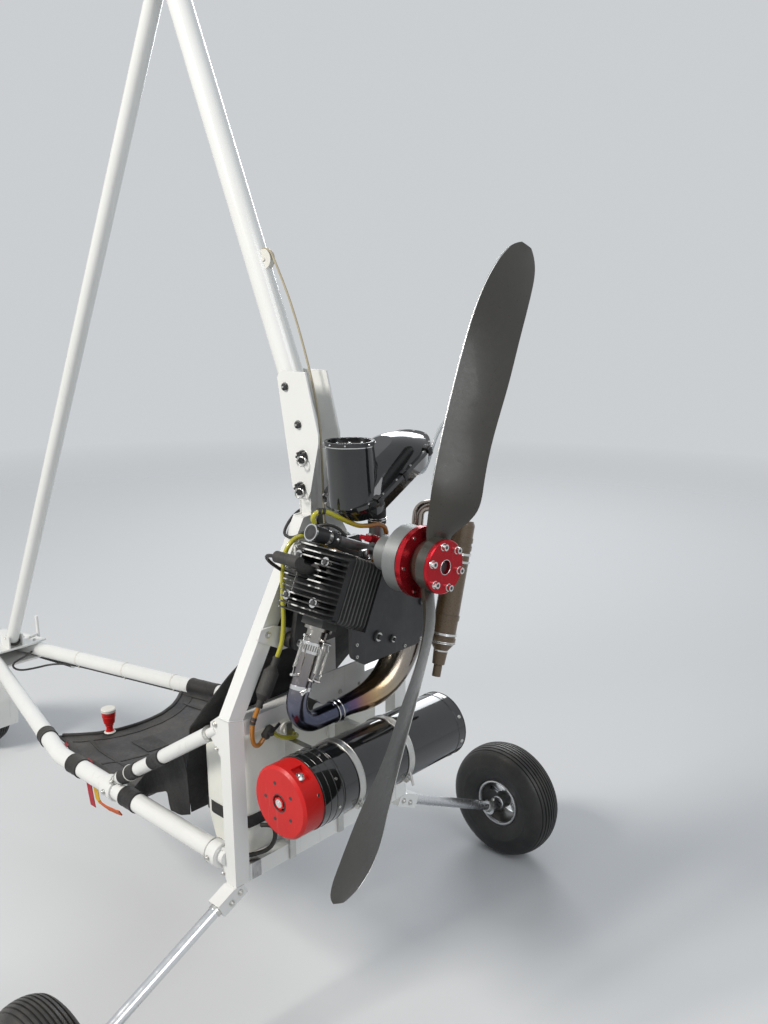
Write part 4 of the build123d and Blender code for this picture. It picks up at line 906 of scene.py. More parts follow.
# Rescue handle on the seat's front edge: a red moulded grip with a white cap, and its red
# webbing that runs under the sling, with the yellow strap and orange pull beside it.
red_plastic = surface(
    "red_plastic", (0.62, 0.014, 0.012), (0.52, 0.011, 0.010), 10.0, (0.34, 0.50), 0.08, dust=0.03,
    scratch=0.05, own={"Specular IOR Level": 0.35},
)
dressed(red_plastic, "rescue_handle")
handle_bm = bmesh.new()
drum(handle_bm, at(90, -982, 438.4), (0, 0, 1), 18.7, 19.2, 6.4, 40)
drum(handle_bm, at(90, -982, 444.8), (0, 0, 1), 19.2, 17, 2.2, 40)
drum(handle_bm, at(90, -982, 382.6), (0, 0, 1), 15, 12.5, 3, 32)
finished("handle_cap", handle_bm, white_nylon)
grip_bm = bmesh.new()
for k in range(5):
    hoop(grip_bm, at(90, -982, 401 + k * 6), (0, 0, 1), 9.6 + k * 1.6, 1.1)
finished("handle_ribs", grip_bm, red_plastic, 0.8)


def drawn_out(bm, edges, way, thick):
    """Strip that a line of edges leaves when it is drawn out, then given its thickness."""
    made = bmesh.ops.extrude_edge_only(bm, edges=edges)["geom"]
    moved = [part for part in made if isinstance(part, bmesh.types.BMVert)]
    bmesh.ops.translate(bm, verts=moved, vec=Vector(way) / 1000)
    faces = list({face for vert in moved for face in vert.link_faces})
    bmesh.ops.recalc_face_normals(bm, faces=faces)
    bmesh.ops.solidify(bm, geom=faces, thickness=thick / 1000)


def webbing(bm, route, width, thick):
    """Flat strap through points in millimetres, its width along one direction."""
    line = [bm.verts.new(at(*place) - Vector(width) / 2000) for place in route]
    drawn_out(bm, [bm.edges.new(pair) for pair in zip(line, line[1:])], width, thick)


red_webbing = surface(
    "red_webbing", (0.45, 0.02, 0.035), (0.34, 0.014, 0.026), 240.0, (0.6, 0.8), 0.5, scratch=0.0
)
yellow_webbing = surface(
    "yellow_webbing", (0.66, 0.40, 0.02), (0.55, 0.31, 0.015), 240.0, (0.6, 0.8), 0.5, scratch=0.0
)
orange_webbing = surface(
    "orange_webbing", (0.68, 0.13, 0.02), (0.55, 0.09, 0.015), 240.0, (0.55, 0.75), 0.5, dust=0.15,
    scratch=0.0,
)
red_bm = bmesh.new()
red_tail = [(214, -875, 371), (217, -874, 352), (219, -873, 326), (217, -872, 298), (214, -871, 268)]
webbing(red_bm, red_tail, (0, 22, 0), 1.6)
webbing(red_bm, [(206, -880, 384), (212, -876, 382.5), (214, -875, 371)], (0, 22, 0), 1.6)
webbing(red_bm, [(196, -1010, 383.4), (204, -1004, 383.8), (208, -985, 384)], (12, 6, 0), 1.4)
finished("rescue_webbing", red_bm, red_webbing, 0.8)
yellow_bm = bmesh.new()
webbing(yellow_bm, [(218, -846, 371), (221, -842, 340), (222, -834, 306), (222, -818, 296)], (0, 18, 4), 1.6)
finished("yellow_strap", yellow_bm, yellow_webbing, 0.8)
orange_bm = bmesh.new()
webbing(orange_bm, [(222, -824, 297), (222, -790, 296), (221, -752, 300), (220, -739, 302)], (8, 0, 14), 3.2)
finished("orange_pull", orange_bm, orange_webbing, 0.8)

# Fuel tank: blow-moulded white polyethylene that lets some light through, held to the mid
# bar by a black strap, with a moulded seam line and a black hose under its left end.
tank_plastic = surface(
    "tank_polyethylene", (0.80, 0.80, 0.75), (0.73, 0.73, 0.66), 4.0, (0.30, 0.46), 0.06, dust=0.16,
    scratch=0.1, own={"Subsurface Weight": 0.3, "Subsurface Radius": (0.03, 0.028, 0.02)},
)
dressed(tank_plastic, "fuel_tank")
tank_strap_bm = bmesh.new()
tank_side = [
    (168, -301.6), (186, -303), (197.4, -316), (198.4, -334), (198.4, -404), (192, -432), (168, -442),
]
tank_loop = [(0, -301.6), *tank_side, *[(-x, y) for x, y in reversed(tank_side)], (0, -301.6)]
webbing(tank_strap_bm, [(x, y, 440) for x, y in tank_loop], (0, 0, 26), 1.6)
finished("tank_strap", tank_strap_bm, hem_black_and_shade_cloth, 0.8)
tank_seam_bm = bmesh.new()
webbing(tank_seam_bm, [(-160, -302.2, 470), (160, -302.2, 470)], (0, 0, 5), 1.4)
drum(tank_seam_bm, at(84, -303.6, 606), (0, 1, 0), 17, 15.5, 3, 36)
drum(tank_seam_bm, at(-60, -303.6, 560), (0, 1, 0), 30, 28, 4, 48)
finished("tank_seam", tank_seam_bm, tank_plastic)
tank_hose_route = [
    (160, -298, 424), (156, -284, 430), (146, -274, 424), (148, -268, 404), (162, -270, 384),
    (184, -282, 378), (205, -292, 379),
]
cable("tank_vent_hose", tank_hose_route, 4.5, rubber)

# Engine block: black-painted castings on a black cut cradle, hung from four rubbers. Bright
# ring washers sit on the plate's bosses, and small screws run round its rim.
black_cast = surface(
    "black_casting", (0.016, 0.016, 0.017), (0.030, 0.030, 0.031), 60.0, (0.42, 0.62), 0.35, dust=0.14,
    scratch=0.15, scratched=(0.25, 0.25, 0.25),
)
dressed(black_cast, "crankcase")
dressed(black_satin, "engine_plate", "engine_cradle")
dressed(rubber, "engine_rubbers")
rearward = (0, 1, 0)
washer_bm, plate_bolt_bm = bmesh.new(), bmesh.new()
for x, z, r in ((24, 843, 8.5), (-17, 827, 6), (-104, 882, 7)):
    drum(washer_bm, at(x, -92.9, z), rearward, r, r, 1.2, 36)
    drum(plate_bolt_bm, at(x, -91.7, z), rearward, r * 0.68, r * 0.62, 4.5, 6)
for x, z in ((80, 818), (80, 842), (-52, 803), (-98, 806), (-116, 850), (-116, 918), (-86, 958), (-40, 984)):
    drum(washer_bm, at(x, -96.9, z), rearward, 3.4, 3.2, 2.6, 20)
    drum(plate_bolt_bm, at(x, -94.4, z), rearward, 1.6, 1.6, 0.4, 6)
finished("plate_washers", washer_bm, zinc, 0.5)
finished("plate_bolts", plate_bolt_bm, black_satin, 0.5)
cradle_bolt_bm = bmesh.new()
for side in (-1, 1):
    for x, z in ((98, 815), (55, 985)):
        bolted(cradle_bolt_bm, at(x * side, -236.2, z), rearward, 5)
finished("cradle_bolts", cradle_bolt_bm, zinc, 0.5)

# Cylinder and head: castings sprayed black, then skimmed, so the fins' outer edges are bare metal in worn
# spots; the bare metal on the fins' front ends and along the head's top rim is a painted highlight. Four
# nuts on bright machined seats hold the head down.
cyl_turn = math.radians(25)
cyl_origin = at(-40, -160, 886)
cyl_u = Vector((math.cos(cyl_turn), 0, math.sin(cyl_turn)))
cyl_w = Vector((-math.sin(cyl_turn), 0, math.cos(cyl_turn)))


def skimmed_with_highlights(name, paint, side_edge, top_edge, bare):
    """Black paint whose fins are bare metal beyond given distances from the cylinder, in metres; on the
    front side and the top rim this bright metal is a painted highlight.
    """
    material = surface(name, paint[0], paint[1], 30.0, (0.38, 0.58), 0.3, dust=0.12, scratch=0.1)
    tree = material.node_tree
    shader = tree.nodes["Principled BSDF"]
    shift = (-cyl_origin.dot(cyl_u), -cyl_origin.y, -cyl_origin.dot(cyl_w))
    parts = split(tree, mapped(tree, own_spot(tree), Rotation=(0, cyl_turn, 0), Location=shift))
    rim_edge, top_slope = 0.065, 0.16
    forward = worked(tree, "MULTIPLY", parts["Y"], -1.0)
    rise = worked(tree, "MULTIPLY", worked(tree, "ABSOLUTE", parts["Z"]), top_slope)
    outward = worked(tree, "ADD", parts["X"], rise)
    # Fin ends on the front side and along the top rim turn to bright metal: painted highlight where light
    # glints.
    front_side_highlight = ranged(tree, forward, side_edge - 0.0007, side_edge - 0.0003)
    top_rim_highlight = ranged(tree, parts["Z"], rim_edge - 0.0007, rim_edge - 0.0003)
    chips = ranged(tree, tree.nodes["marks"].outputs["Broad"], 0.54, 0.62)
    bare_share = worked(tree, "MAXIMUM", chips, ranged(tree, forward, 0.046, 0.050))
    top_share = ranged(tree, outward, top_edge - 0.0010, top_edge - 0.0004)
    top_mask = worked(tree, "MULTIPLY", top_share, bare_share)
    mask = worked(tree, "MAXIMUM", worked(tree, "MAXIMUM", front_side_highlight, top_mask), top_rim_highlight)
    painted = shader.inputs["Base Color"].links[0].from_socket
    tree.links.new(blended(tree, "skimmed_edge_and_highlight", mask, painted, bare), shader.inputs["Base Color"])
    tree.links.new(mask, shader.inputs["Metallic"])
    return material


head_black = ((0.012, 0.012, 0.013), (0.024, 0.024, 0.025))
barrel_black = ((0.070, 0.070, 0.068), (0.095, 0.094, 0.090))
no_top = 9.0  # beyond the barrel's end, so that its fins' tops stay painted
dressed(skimmed_with_highlights("head_paint", head_black, 0.062, 0.2126, (0.62, 0.62, 0.60)), "cylinder_head")
dressed(skimmed_with_highlights("barrel_paint", barrel_black, 0.060, no_top, (0.16, 0.16, 0.16)), "cylinder_barrel")
dressed(rubber, "plug_boot")
seat_bm, head_nut_bm = bmesh.new(), bmesh.new()
for y in (-0.036, 0.036):
    for w in (-0.038, 0.038):
        stud = cyl_origin + cyl_w * w + Vector((0, y, 0))
        drum(seat_bm, stud + cyl_u * 0.196, cyl_u, 9.3, 9.3, 8.9, 36)
        drum(head_nut_bm, stud + cyl_u * 0.2049, cyl_u, 5.6, 5.0, 2.4, 6)
bright_metal = surface(
    "machined_metal", (0.80, 0.80, 0.79), (0.68, 0.68, 0.67), 60.0, (0.12, 0.28), 0.04, metallic=1.0,
    dust=0.06,
)
finished("head_seats", seat_bm, bright_metal, 0.5)
finished("head_nuts", head_nut_bm, black_satin, 0.5)
plug_lead_route = [
    (173, -205, 1011), (173, -226, 1010), (166, -246, 1002), (146, -258, 984), (112, -260, 958),
    (72, -259, 936), (38, -256, 930),
]
cable("plug_lead", plug_lead_route, 3.5, cable_jacket)
coil_bm = bmesh.new()
blocked(coil_bm, Matrix.Translation(at(16, -255.4, 930)), (48, 13, 34), 3, 3)
drum(coil_bm, at(38, -255.4, 930), (1, 0, 0), 6, 5, 8, 24)
finished("ignition_coil", coil_bm, rubber)

# Reduction drum: turned aluminium in a smooth grey finish, and the bevelled block beside it.
smooth_grey = surface(
    "grey_anodised", (0.24, 0.25, 0.25), (0.20, 0.21, 0.21), 14.0, (0.36, 0.50), 0.05, metallic=0.35,
    dust=0.10, scratch=0.12,
)
dressed(smooth_grey, "reduction_housing")
block_bm = bmesh.new()
blocked(block_bm, Matrix.Translation(at(5, -149.5, 971)), (15, 15, 58), 1.8)
finished("engine_block_stop", block_bm, bright_metal, 0.5)

# Carburettor: grey casting with a black slide housing, a machined ring at its mouth, a spring
# clip round its neck and a black cap on its throttle side.
cast_grey = surface(
    "cast_aluminium", (0.33, 0.34, 0.34), (0.24, 0.25, 0.25), 40.0, (0.36, 0.55), 0.3, metallic=0.85,
    dust=0.15, scratch=0.15,
)
dressed(cast_grey, "carburettor")
dressed(rubber, "intake_boot")
carb_start, carb_stop = at(122, -168, 1053), at(-52, -168, 980)
carb_run = (carb_stop - carb_start).normalized()
carb_aside = carb_run.orthogonal().normalized()
carb_dark_bm, carb_bright_bm = bmesh.new(), bmesh.new()
for bm, along, r, depth, sides in (
    (carb_dark_bm, 3, 15.6, 32, 40),
    (carb_dark_bm, 49.5, 15.7, 17, 40),
    (carb_bright_bm, -1.2, 16.4, 4.2, 40),
    (carb_dark_bm, -1.6, 13.8, 0.8, 40),
    (carb_bright_bm, 38.5, 13.6, 8, 36),
):
    drum(bm, carb_start + carb_run * along / 1000, carb_run, r, r, depth, sides)
for rib in spread(20, 0, carb_aside, carb_run.cross(carb_aside)):
    drum(carb_dark_bm, carb_start + carb_run * 0.051 + rib * 0.0157, carb_run, 1, 1, 14, 8)
hoop(carb_dark_bm, carb_start + carb_run * -0.0016, carb_run, 9.5, 0.7, 30)
bolted(carb_bright_bm, carb_start + carb_run * 0.058 + Vector((0, 0.0156, 0)), rearward, 3.2)
for z in (1046, 1050):
    hoop(carb_bright_bm, at(-52, -168, z), (0, 0, 1), 18.4, 1.4)
for x in (-74, -30):
    bolted(carb_bright_bm, at(x, -168, 967.4), (0, 0, 1), 3.6)
finished("carburettor_black", carb_dark_bm, black_satin, 0.5)
finished("carburettor_bright", carb_bright_bm, bright_metal, 0.5)

# Fuel line: clear hose, stained amber and yellow by the fuel, from the tank through the tap
# and the squeeze bulb to the pump, then in a tied loop to the carburettor.
fuel_hose = surface(
    "fuel_hose", (0.50, 0.36, 0.02), (0.44, 0.27, 0.015), 40.0, (0.14, 0.26), 0.04, dust=0.08, scratch=0.0,
    own={"Coat Weight": 0.5, "Transmission Weight": 0.25},
)
hose_tree = fuel_hose.node_tree
hose_parts = split(hose_tree, own_spot(hose_tree))
upper_amber = ranged(hose_tree, hose_parts["X"], 0.075, 0.0)
lower_amber = ranged(hose_tree, hose_parts["X"], 0.145, 0.175)
is_upper = ranged(hose_tree, hose_parts["Z"], 0.80, 0.82)
is_lower = worked(hose_tree, "SUBTRACT", 1.0, is_upper)
upper_share = worked(hose_tree, "MULTIPLY", upper_amber, is_upper)
lower_share = worked(hose_tree, "MULTIPLY", lower_amber, is_lower)
amber_share = worked(hose_tree, "ADD", upper_share, lower_share)
hose_stain = blended(hose_tree, "stain", amber_share, (0.56, 0.52, 0.03), (0.50, 0.19, 0.012))
hose_tree.links.new(hose_stain, hose_tree.nodes["dusted"].inputs[6])
dressed(fuel_hose, "fuel_hoses")
red_metal = surface(
    "red_anodised", (0.50, 0.012, 0.022), (0.40, 0.009, 0.017), 20.0, (0.16, 0.30), 0.03, metallic=0.75,
    dust=0.05, scratch=0.1, scratched=(0.6, 0.3, 0.3),
)
dressed(red_metal, "fuel_pump")
dressed(rubber, "fuel_bulb", "fuel_tap")
pump_at = at(-14, -134, 1016)
pump_turn = math.radians(22)
pump_along = Vector((math.cos(pump_turn), 0, math.sin(pump_turn)))
pump_up = Vector((-math.sin(pump_turn), 0, math.cos(pump_turn)))
pump_screw_bm, tie_bm = bmesh.new(), bmesh.new()
for end in (-0.022, 0.022):
    bolted(pump_screw_bm, pump_at + pump_along * end + pump_up * 0.0066, pump_up, 3.6)
for end in (-0.012, 0.012):
    for y in (-0.007, 0.007):
        screw_at = pump_at + pump_along * end + pump_up * 0.0085 + Vector((0, y, 0))
        drum(pump_screw_bm, screw_at, pump_up, 2, 1.8, 1.4, 14)
finished("pump_screws", pump_screw_bm, zinc, 0.5)
for spot, run, r, depth, sides in (
    ((106, -158, 1091.5), (1, -0.35, 0.2), 6, 6, 24),
    ((98, -155.5, 1090), (1, -0.43, 0.3), 6, 6, 24),
    ((203.5, -255.6, 682), (-45, 4, 86), 6, 6, 24),
    ((205.2, -256.2, 675), (-20, 2, 90), 6, 6, 24),
    ((191, -254, 706), (-45, 4, 86), 7.8, 5, 28),
    ((146.2, -250, 791.5), (-45, 4, 86), 7.8, 5, 28),
):
    drum(tie_bm, at(*spot), run, r, r, depth, sides)
drum(tie_bm, at(84, -293, 606), rearward, 9.6, 8, 10, 30)
finished("hose_ties", tie_bm, rubber)
lever_bm = bmesh.new()
drum(lever_bm, at(167.4, -247.5, 645.4), (0.2, 0.9, 0.4), 5.6, 5.6, 3, 24)
webbing(lever_bm, [(167, -245, 647), (160, -242, 655), (150, -240, 663)], (4, 0, 5), 2)
finished("tap_lever", lever_bm, cable_jacket)

# Airbox: two moulded shells in deep black gloss, screwed together round a flange, with an
# upright intake whose mouth has a bright rim, a black band and a screwed lid.
black_gloss = surface(
    "black_gloss", (0.006, 0.007, 0.008), (0.010, 0.011, 0.012), 7.0, (0.05, 0.12), 0.01, dust=0.06,
    scratch=0.06, scratched=(0.10, 0.10, 0.10), own={"Coat Weight": 0.8, "Coat Roughness": 0.03},
)
dressed(black_gloss, "airbox_upper", "airbox_lower")
snout_turn = Matrix.Rotation(math.radians(-45), 3, "Z")


def slot_ring(r, count=64, start=0.5):
    """Places round the snout's rounded slot, whose straight sides are 15 mm long."""
    for k in range(count):
        turn = math.tau * (k + start) / count
        x = r * math.cos(turn) + math.copysign(7.5, math.cos(turn))
        yield snout_turn @ Vector((x, r * math.sin(turn), 0)) / 1000


def slot_band(bm, centre, r, height, thick):
    """Band that stands round the slot, in millimetres."""
    drawn_out(bm, looped(bm, [centre + spot for spot in slot_ring(r)])[1], (0, 0, height), thick)


rim_bm, band_bm, lid_bm = bmesh.new(), bmesh.new(), bmesh.new()
slot_band(rim_bm, at(39.3, -148, 1204.6), 37.9, 1.6, 0.9)
slot_band(band_bm, at(39.6, -148, 1206.4), 38.6, 8.2, 1.6)
lid_spots = [lid_bm.verts.new(at(39.6, -148, 1207) + spot) for spot in slot_ring(32.6)]
lid_face = bmesh.ops.contextual_create(lid_bm, geom=lid_spots)["faces"]
bmesh.ops.inset_region(lid_bm, faces=lid_face, thickness=0.006, depth=0.0012)
bmesh.ops.inset_region(lid_bm, faces=lid_face, thickness=0.008, depth=-0.0022)
bmesh.ops.solidify(lid_bm, geom=lid_bm.faces[:], thickness=0.0015)
finished("snout_lid", lid_bm, black_satin, 0.5)
for spot in slot_ring(39.4, 8, 0):
    drum(rim_bm, at(39.6, -148, 1210.5) + spot, (spot.x, spot.y, 0), 1.9, 1.6, 1.6, 14)
for aside in (0, 16, -16):
    bolted(rim_bm, at(39.6 + aside, -148 - aside, 1207.6), (0, 0, 1), 3)
air_frame = Matrix.Translation(at(-46, -158, 1143)) @ Matrix.Rotation(math.radians(29), 4, "Y")
air_up = air_frame.to_3x3() @ Vector((0, 0, 1))
for x, y in ((64, 69.6), (22, 69.6), (96, 60), (118, 34), (122, 0)):
    for along in (x, -x):
        for deep in (-y, y) if y else (0,):
            drum(rim_bm, air_frame @ (Vector((along, deep, 8)) / 1000), air_up, 2.4, 2.1, 1.5, 16)
finished("airbox_band", band_bm, black_satin, 0.5)
finished("airbox_bright_trim", rim_bm, bright_metal, 0.5)
clip_bm = bmesh.new()
for x in (78, 0, -78):
    for lift, deep, size in ((10.5, 66, (11, 14, 3)), (4, 74.2, (11, 3, 9)), (-3, 72, (11, 3, 9))):
        blocked(clip_bm, air_frame @ Matrix.Translation(Vector((x, deep, lift)) / 1000), size, 0.8)
finished("airbox_clips", clip_bm, black_satin, 0.5)
pale_hose = surface(
    "pale_vent_hose", (0.66, 0.70, 0.72), (0.58, 0.61, 0.62), 20.0, (0.12, 0.25), 0.03, dust=0.08,
    scratch=0.0, own={"Transmission Weight": 0.3},
)
vent_route = [
    (-112, -158, 1150), (-150, -158, 1122), (-176, -158, 1122), (-190, -158, 1138), (-200, -158, 1160),
    (-212, -158, 1183), (-226, -158, 1203), (-241, -158, 1217), (-258, -158, 1221), (-270, -158, 1211),
    (-274, -158, 1194),
]
cable("airbox_vent", vent_route, 4.2, pale_hose)


# Exhaust: thin stainless tube that heat has coloured, polished at the port, blue-black in the
# lower bend and straw-coloured past the joint. Three springs hold the joint at the port.
def heat_tinted(name, axis, stops):
    """Polished steel whose oxide colours run along one axis, as (place in metres, colour)."""
    material = surface(
        name, (0.5, 0.5, 0.5), (0.4, 0.4, 0.4), 12.0, (0.12, 0.26), 0.03, metallic=1.0, dust=0.04,
        scratch=0.25, scratched=(0.7, 0.68, 0.64),
    )
    tree = material.node_tree
    wander = ranged(tree, tree.nodes["marks"].outputs["Broad"], 0.2, 0.8, -0.016, 0.016)
    low, high = stops[0][0], stops[-1][0]
    share = ranged(tree, worked(tree, "ADD", split(tree, own_spot(tree))[axis], wander), low, high)
    ramp = tree.nodes.new("ShaderNodeValToRGB")
    tree.links.new(share, ramp.inputs["Fac"])
    while len(ramp.color_ramp.elements) < len(stops):
        ramp.color_ramp.elements.new(0.5)
    for element, (place, colour) in zip(ramp.color_ramp.elements, stops):
        element.position = (place - low) / (high - low)
        element.color = (*colour, 1)
    tree.links.new(ramp.outputs["Color"], tree.nodes["scuffed"].inputs[6])
    return material


header_tints = [
    (0.655, (0.10, 0.09, 0.10)), (0.70, (0.09, 0.10, 0.15)), (0.745, (0.17, 0.17, 0.22)),
    (0.785, (0.26, 0.24, 0.24)), (0.83, (0.34, 0.32, 0.30)), (0.88, (0.40, 0.38, 0.35)),
]
chamber_tints = [
    (-0.20, (0.34, 0.31, 0.29)), (-0.12, (0.30, 0.27, 0.25)), (-0.07, (0.42, 0.36, 0.28)),
    (-0.03, (0.50, 0.35, 0.19)), (0.005, (0.34, 0.19, 0.13)), (0.03, (0.16, 0.10, 0.18)),
    (0.062, (0.07, 0.08, 0.14)),
]
dressed(heat_tinted("header_steel", "Z", header_tints), "exhaust_header")
dressed(heat_tinted("chamber_steel", "X", chamber_tints), "expansion_chamber")
tail_tints = [(-0.26, (0.46, 0.43, 0.40)), (-0.15, (0.34, 0.28, 0.24))]
dressed(heat_tinted("tail_steel", "X", tail_tints), "tail_pipe")
port_at = at(107.5, -170, 866.5)
port_run = Vector((math.sin(cyl_turn), 0, -math.cos(cyl_turn)))
spring_turns = 19
lug_bm = bmesh.new()
for name, u, y, s0, s1, r0, r1 in (
    ("exhaust_spring_1", 1.0, 0.15, 20, 96, 33, 37),
    ("exhaust_spring_2", 0.15, 1.0, 22, 98, 30, 31),
    ("exhaust_spring_3", -0.5, 0.87, 26, 97, 30, 31),
):
    aside = (cyl_u * u + Vector((0, y, 0))).normalized()
    hook_a = port_at + (port_run * s0 + aside * r0) / 1000
    hook_b = port_at + (port_run * s1 + aside * r1) / 1000
    run = hook_b - hook_a
    wide = aside.cross(run).normalized()
    coil = []
    for step in range(spring_turns * 8 + 1):
        share = 0.2 + 0.6 * step / (spring_turns * 8)
        turn = math.tau * step / 8
        coil.append(hook_a + run * share + (aside * math.cos(turn) + wide * math.sin(turn)) * 0.0032)
    start = [hook_a - aside * 0.003, hook_a, hook_a + run * 0.14]
    end = [hook_b - run * 0.14, hook_b, hook_b - aside * 0.003]
    cable(name, [measured(spot) for spot in start + coil + end], 0.9, zinc)
    for s, r in ((s0, r0), (s1, r1)):
        drum(lug_bm, port_at + (port_run * s + aside * 18) / 1000, aside, 3.4, 2.6, r - 15, 14)
for s in (30, 46):
    drum(lug_bm, port_at + port_run * s / 1000, port_run, 23.8, 23.8, 5, 40)
for rib in spread(32, 0, cyl_u, rearward):
    drum(lug_bm, port_at + port_run * 0.034 + rib * 0.0236, port_run, 1.1, 1.1, 13, 8)
clamp_at = port_at + port_run * 0.112
drum(lug_bm, clamp_at, (0.30, 0, -0.954), 21.4, 21.4, 8, 44)
drum(lug_bm, clamp_at + Vector((0.004, 0.021, -0.004)), (1, 0.2, -0.1), 3, 3, 16, 16)
for x in (64, 75):
    hoop(lug_bm, at(x, -170, 683), (1, 0, 0), 22.3, 1.2)
bolted(lug_bm, at(60, -191.5, 668), rearward, 4)
finished("exhaust_clamps", lug_bm, bright_metal, 0.5)
bobbin_bm = bmesh.new()
drum(bobbin_bm, at(60, -262, 668), rearward, 13, 12, 30, 30)
finished("exhaust_bobbin", bobbin_bm, rubber)

# Silencer: a brown woven composite sleeve between bright end caps, with two thin bright bands
# near each end.
weave = surface(
    "woven_composite", (0.070, 0.047, 0.026), (0.105, 0.072, 0.042), 20.0, (0.22, 0.36), 0.0, dust=0.08,
    scratch=0.05, own={"Coat Weight": 0.4},
)
weave_tree = weave.node_tree
weave_spot = mapped(weave_tree, own_spot(weave_tree), Rotation=(0.2, 0.26, 0.78))
weave_gap = worked(weave_tree, "SUBTRACT", *threaded(weave_tree, weave_spot, "XZ", 95))
weave_cell = worked(weave_tree, "ABSOLUTE", weave_gap)
weave_colour = blended(weave_tree, "threads", weave_cell, (0.060, 0.036, 0.016), (0.17, 0.108, 0.052))
weave_tree.links.new(weave_colour, weave_tree.nodes["scuffed"].inputs[6])
embossed(weave_tree, weave_cell, 0.4, 0.0005)
dressed(weave, "silencer")
sil_high, sil_low = at(-236, -100, 1021), at(-170, -100, 775)
sil_run = (sil_low - sil_high).normalized()
sil_length = (sil_low - sil_high).length * 1000
band_bm = bmesh.new()
for s in (66, 82, sil_length - 22, sil_length - 5):
    for edge in (0.2, 3.4):
        hoop(band_bm, sil_high + sil_run * (s + edge) / 1000, sil_run, 26.8, 0.9, 48)
    drum(band_bm, sil_high + sil_run * s / 1000, sil_run, 26.6, 26.6, 3.6, 48)
drum(band_bm, sil_high + sil_run * -0.0004, sil_run, 14.2, 14.2, 3, 32)
drum(band_bm, sil_high + sil_run * (sil_length + 14) / 1000, sil_run, 15.2, 15.2, 3, 32)
finished("silencer_bands", band_bm, bright_metal, 0.5)

# Rescue canister: a gloss black tube with a thicker collar, screwed end rings and two steel
# straps, each drawn tight by a bolt and toggle.
dressed(black_gloss, "rescue_canister")
strap_steel = surface(
    "strap_steel", (0.60, 0.60, 0.58), (0.50, 0.50, 0.49), 30.0, (0.24, 0.40), 0.05, metallic=1.0, dust=0.12,
    scratch=0.3,
)
dressed(strap_steel, "canister_straps")
can_y, can_z = -130, 576
sideways = (1, 0, 0)
can_bm = bmesh.new()
for out in spread(8, math.tau * 0.3 / 8, (0, 0, 1), rearward):
    drum(can_bm, at(-193, can_y, can_z) + out * 0.068, out, 4, 3.4, 1.6, 18)
    drum(can_bm, at(165, can_y, can_z) + out * 0.071, out, 3, 2.6, 1.2, 18)
for x in (104, -34):
    for edge in (-5.6, 5.6):
        drum(can_bm, at(x + edge - 1.9, -72, 534), sideways, 6.6, 6.6, 3.8, 24)
    toggle = Matrix.Translation(at(x, -76, 541)) @ Matrix.Rotation(0.6, 4, "X")
    blocked(can_bm, toggle, (11, 8, 24), 1.2)
    drum(can_bm, at(x, -69, 556), (0, 0.35, -1), 2.6, 2.6, 34, 16)
    for edge in (-7.2, 7.2):
        hoop(can_bm, at(x + edge, can_y, can_z), sideways, 69.9, 0.6, 72)
finished("canister_fittings", can_bm, zinc, 0.5)
can_rim_bm = bmesh.new()
for x in (155, 171, 187, 202):
    hoop(can_rim_bm, at(x, can_y, can_z), sideways, 71.0, 0.9, 72)
for x in (-203, -183, 148):
    hoop(can_rim_bm, at(x, can_y, can_z), sideways, 68.0, 1.0, 72)
finished("canister_rims", can_rim_bm, black_gloss, 0.8)

# Canister cap: bright red moulding with a screwed notch, five countersunk holes and, in a dark recess in its
# middle, a steel hexagon fitting. The holes and the recess are black discs and rings: painted shade.
dressed(red_plastic, "canister_cap")
cap_shade_bm, cap_steel_bm = bmesh.new(), bmesh.new()
# Black disc of the central recess and black discs in the five holes: painted shade.
drum(cap_shade_bm, at(243.2, can_y, can_z), sideways, 16.4, 16.4, 0.8, 44)
hoop(cap_shade_bm, at(251.1, can_y, can_z), sideways, 16.6, 1.0, 48)
drum(cap_steel_bm, at(246, can_y, can_z), sideways, 12.6, 12.2, 4.4, 6)
drum(cap_steel_bm, at(250, can_y, can_z), sideways, 8.6, 8.0, 2.6, 32)
drum(cap_steel_bm, at(252, can_y, can_z), sideways, 5.4, 4.2, 1.6, 24)
for out in spread(5, math.radians(-16), (0, 0, 1), rearward):
    spot = at(251, can_y, can_z) + out * 0.038
    drum(cap_shade_bm, spot - Vector((0.0006, 0, 0)), sideways, 3.4, 3.4, 0.8, 20)
    hoop(cap_shade_bm, spot, sideways, 3.4, 0.5, 20)
notch_turn = math.radians(28.6)
notch_out = Vector((0, math.sin(notch_turn), math.cos(notch_turn)))
bolted(cap_steel_bm, at(224, can_y, can_z) + notch_out * 0.0592, notch_out, 6)
drum(cap_steel_bm, at(224, can_y, can_z) + notch_out * 0.0646, notch_out, 2.6, 2.6, 2, 16)
for turn in (1.2, 2.4, 3.6, 4.8):
    out = Vector((0, math.sin(turn), math.cos(turn)))
    drum(cap_steel_bm, at(214, can_y, can_z) + out * 0.0698, out, 3.2, 2.8, 1.4, 16)
finished("cap_hole_shade", cap_shade_bm, black_satin)
finished("cap_fitting", cap_steel_bm, bright_metal, 0.4)

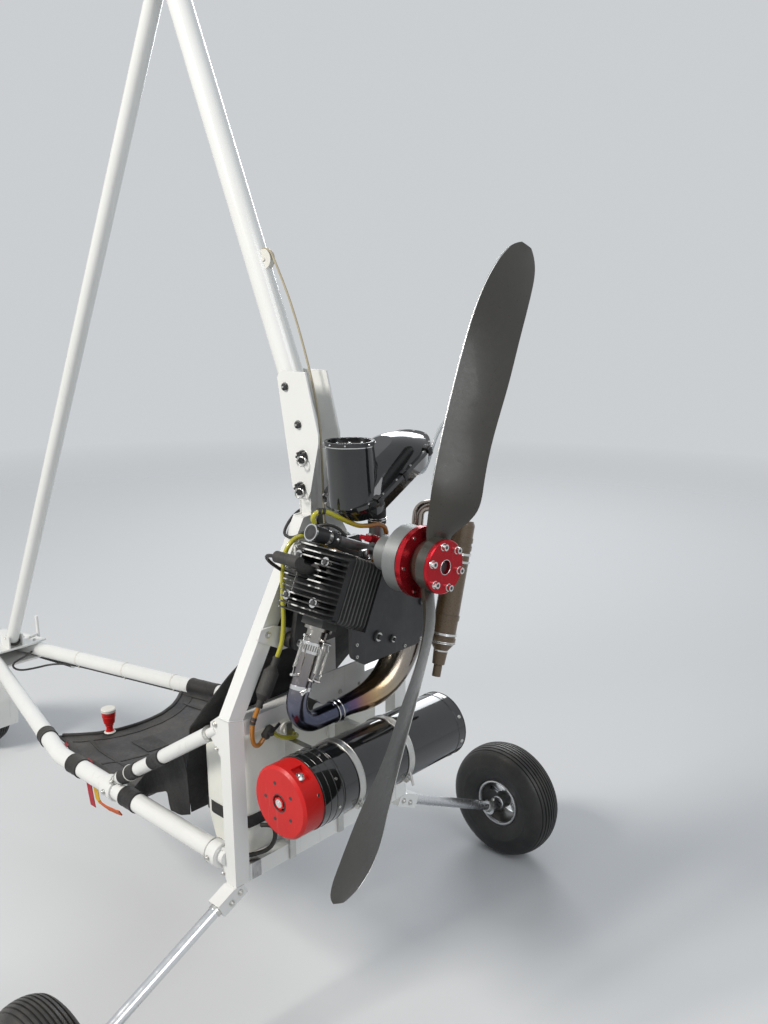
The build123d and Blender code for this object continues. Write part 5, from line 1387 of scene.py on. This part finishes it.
# Propeller: two blades of dark moulded composite with a satin finish and faint fibres, a
# bright metal edge let into each leading edge.
carbon = surface(
    "propeller_composite", (0.030, 0.027, 0.021), (0.042, 0.038, 0.030), 5.0, (0.26, 0.38), 0.02, dust=0.04,
    scratch=0.03, scratched=(0.10, 0.09, 0.08), own={"Coat Weight": 0.2, "Coat Roughness": 0.12},
)
dressed(carbon, "propeller")
edge_metal = surface(
    "edge_metal", (0.62, 0.62, 0.60), (0.52, 0.52, 0.50), 20.0, (0.16, 0.30), 0.03, metallic=1.0, dust=0.05
)
prop_z = 1003
prop_turn = math.radians(-23.8)
blade_leads = [  # distance from the shaft, half chord, height over the blade's middle
    (130, 58.5, -3), (160, 62, -4), (250, 68, -6.5), (350, 71, -8.5), (440, 73, -7), (500, 70, -2.5),
    (540, 62.5, 2), (572, 49, 2.8), (590, 36, 3),
]
for end, name in ((1, "upper"), (-1, "lower")):
    route = []
    for r, half, lift in blade_leads:
        x = (half * math.cos(prop_turn) + r * math.sin(prop_turn)) * end
        z = (r * math.cos(prop_turn) - half * math.sin(prop_turn)) * end
        route.append((x, 21 + lift, prop_z + z))
    cable("blade_edge_" + name, route, 1.3, edge_metal, "propeller_body")

# Propeller hub: a red anodised drive flange and clamping plate. Six bright bolts stand off the plate on ring
# nuts; black hexagons on their tops and a black disc in the plate's bore are painted shade of the sockets
# and the bore.
dressed(red_metal, "drive_flange", "hub_plate")
hub_bright_bm, hub_shade_bm = bmesh.new(), bmesh.new()
for out in spread(6, math.radians(10), (0, 0, 1), sideways):
    for bm, y, r0, r1, depth, sides in (
        (hub_bright_bm, 50, 7.4, 7.2, 1.4, 28),
        (hub_bright_bm, 51.4, 6.1, 5.9, 6.9, 28),
        (hub_shade_bm, 58.1, 3.3, 3.3, 0.5, 6),
    ):
        drum(bm, at(0, y, prop_z) + out * 0.0395, rearward, r0, r1, depth, sides)
for out in spread(6, math.radians(30), (0, 0, 1), sideways):
    drum(hub_bright_bm, at(0, -0.2, prop_z) + out * 0.0575, rearward, 3.4, 3.0, 2.4, 18)
# Black disc at the bottom of the plate's bore: painted shade.
drum(hub_shade_bm, at(0, 41.6, prop_z), rearward, 13.4, 13.4, 0.6, 36)
hoop(hub_bright_bm, at(0, 50.0, prop_z), rearward, 13.4, 0.7, 44)
finished("hub_bolts", hub_bright_bm, bright_metal, 0.5, "propeller_body")
finished("hub_hollow_shade", hub_shade_bm, black_satin, 0.5, "propeller_body")
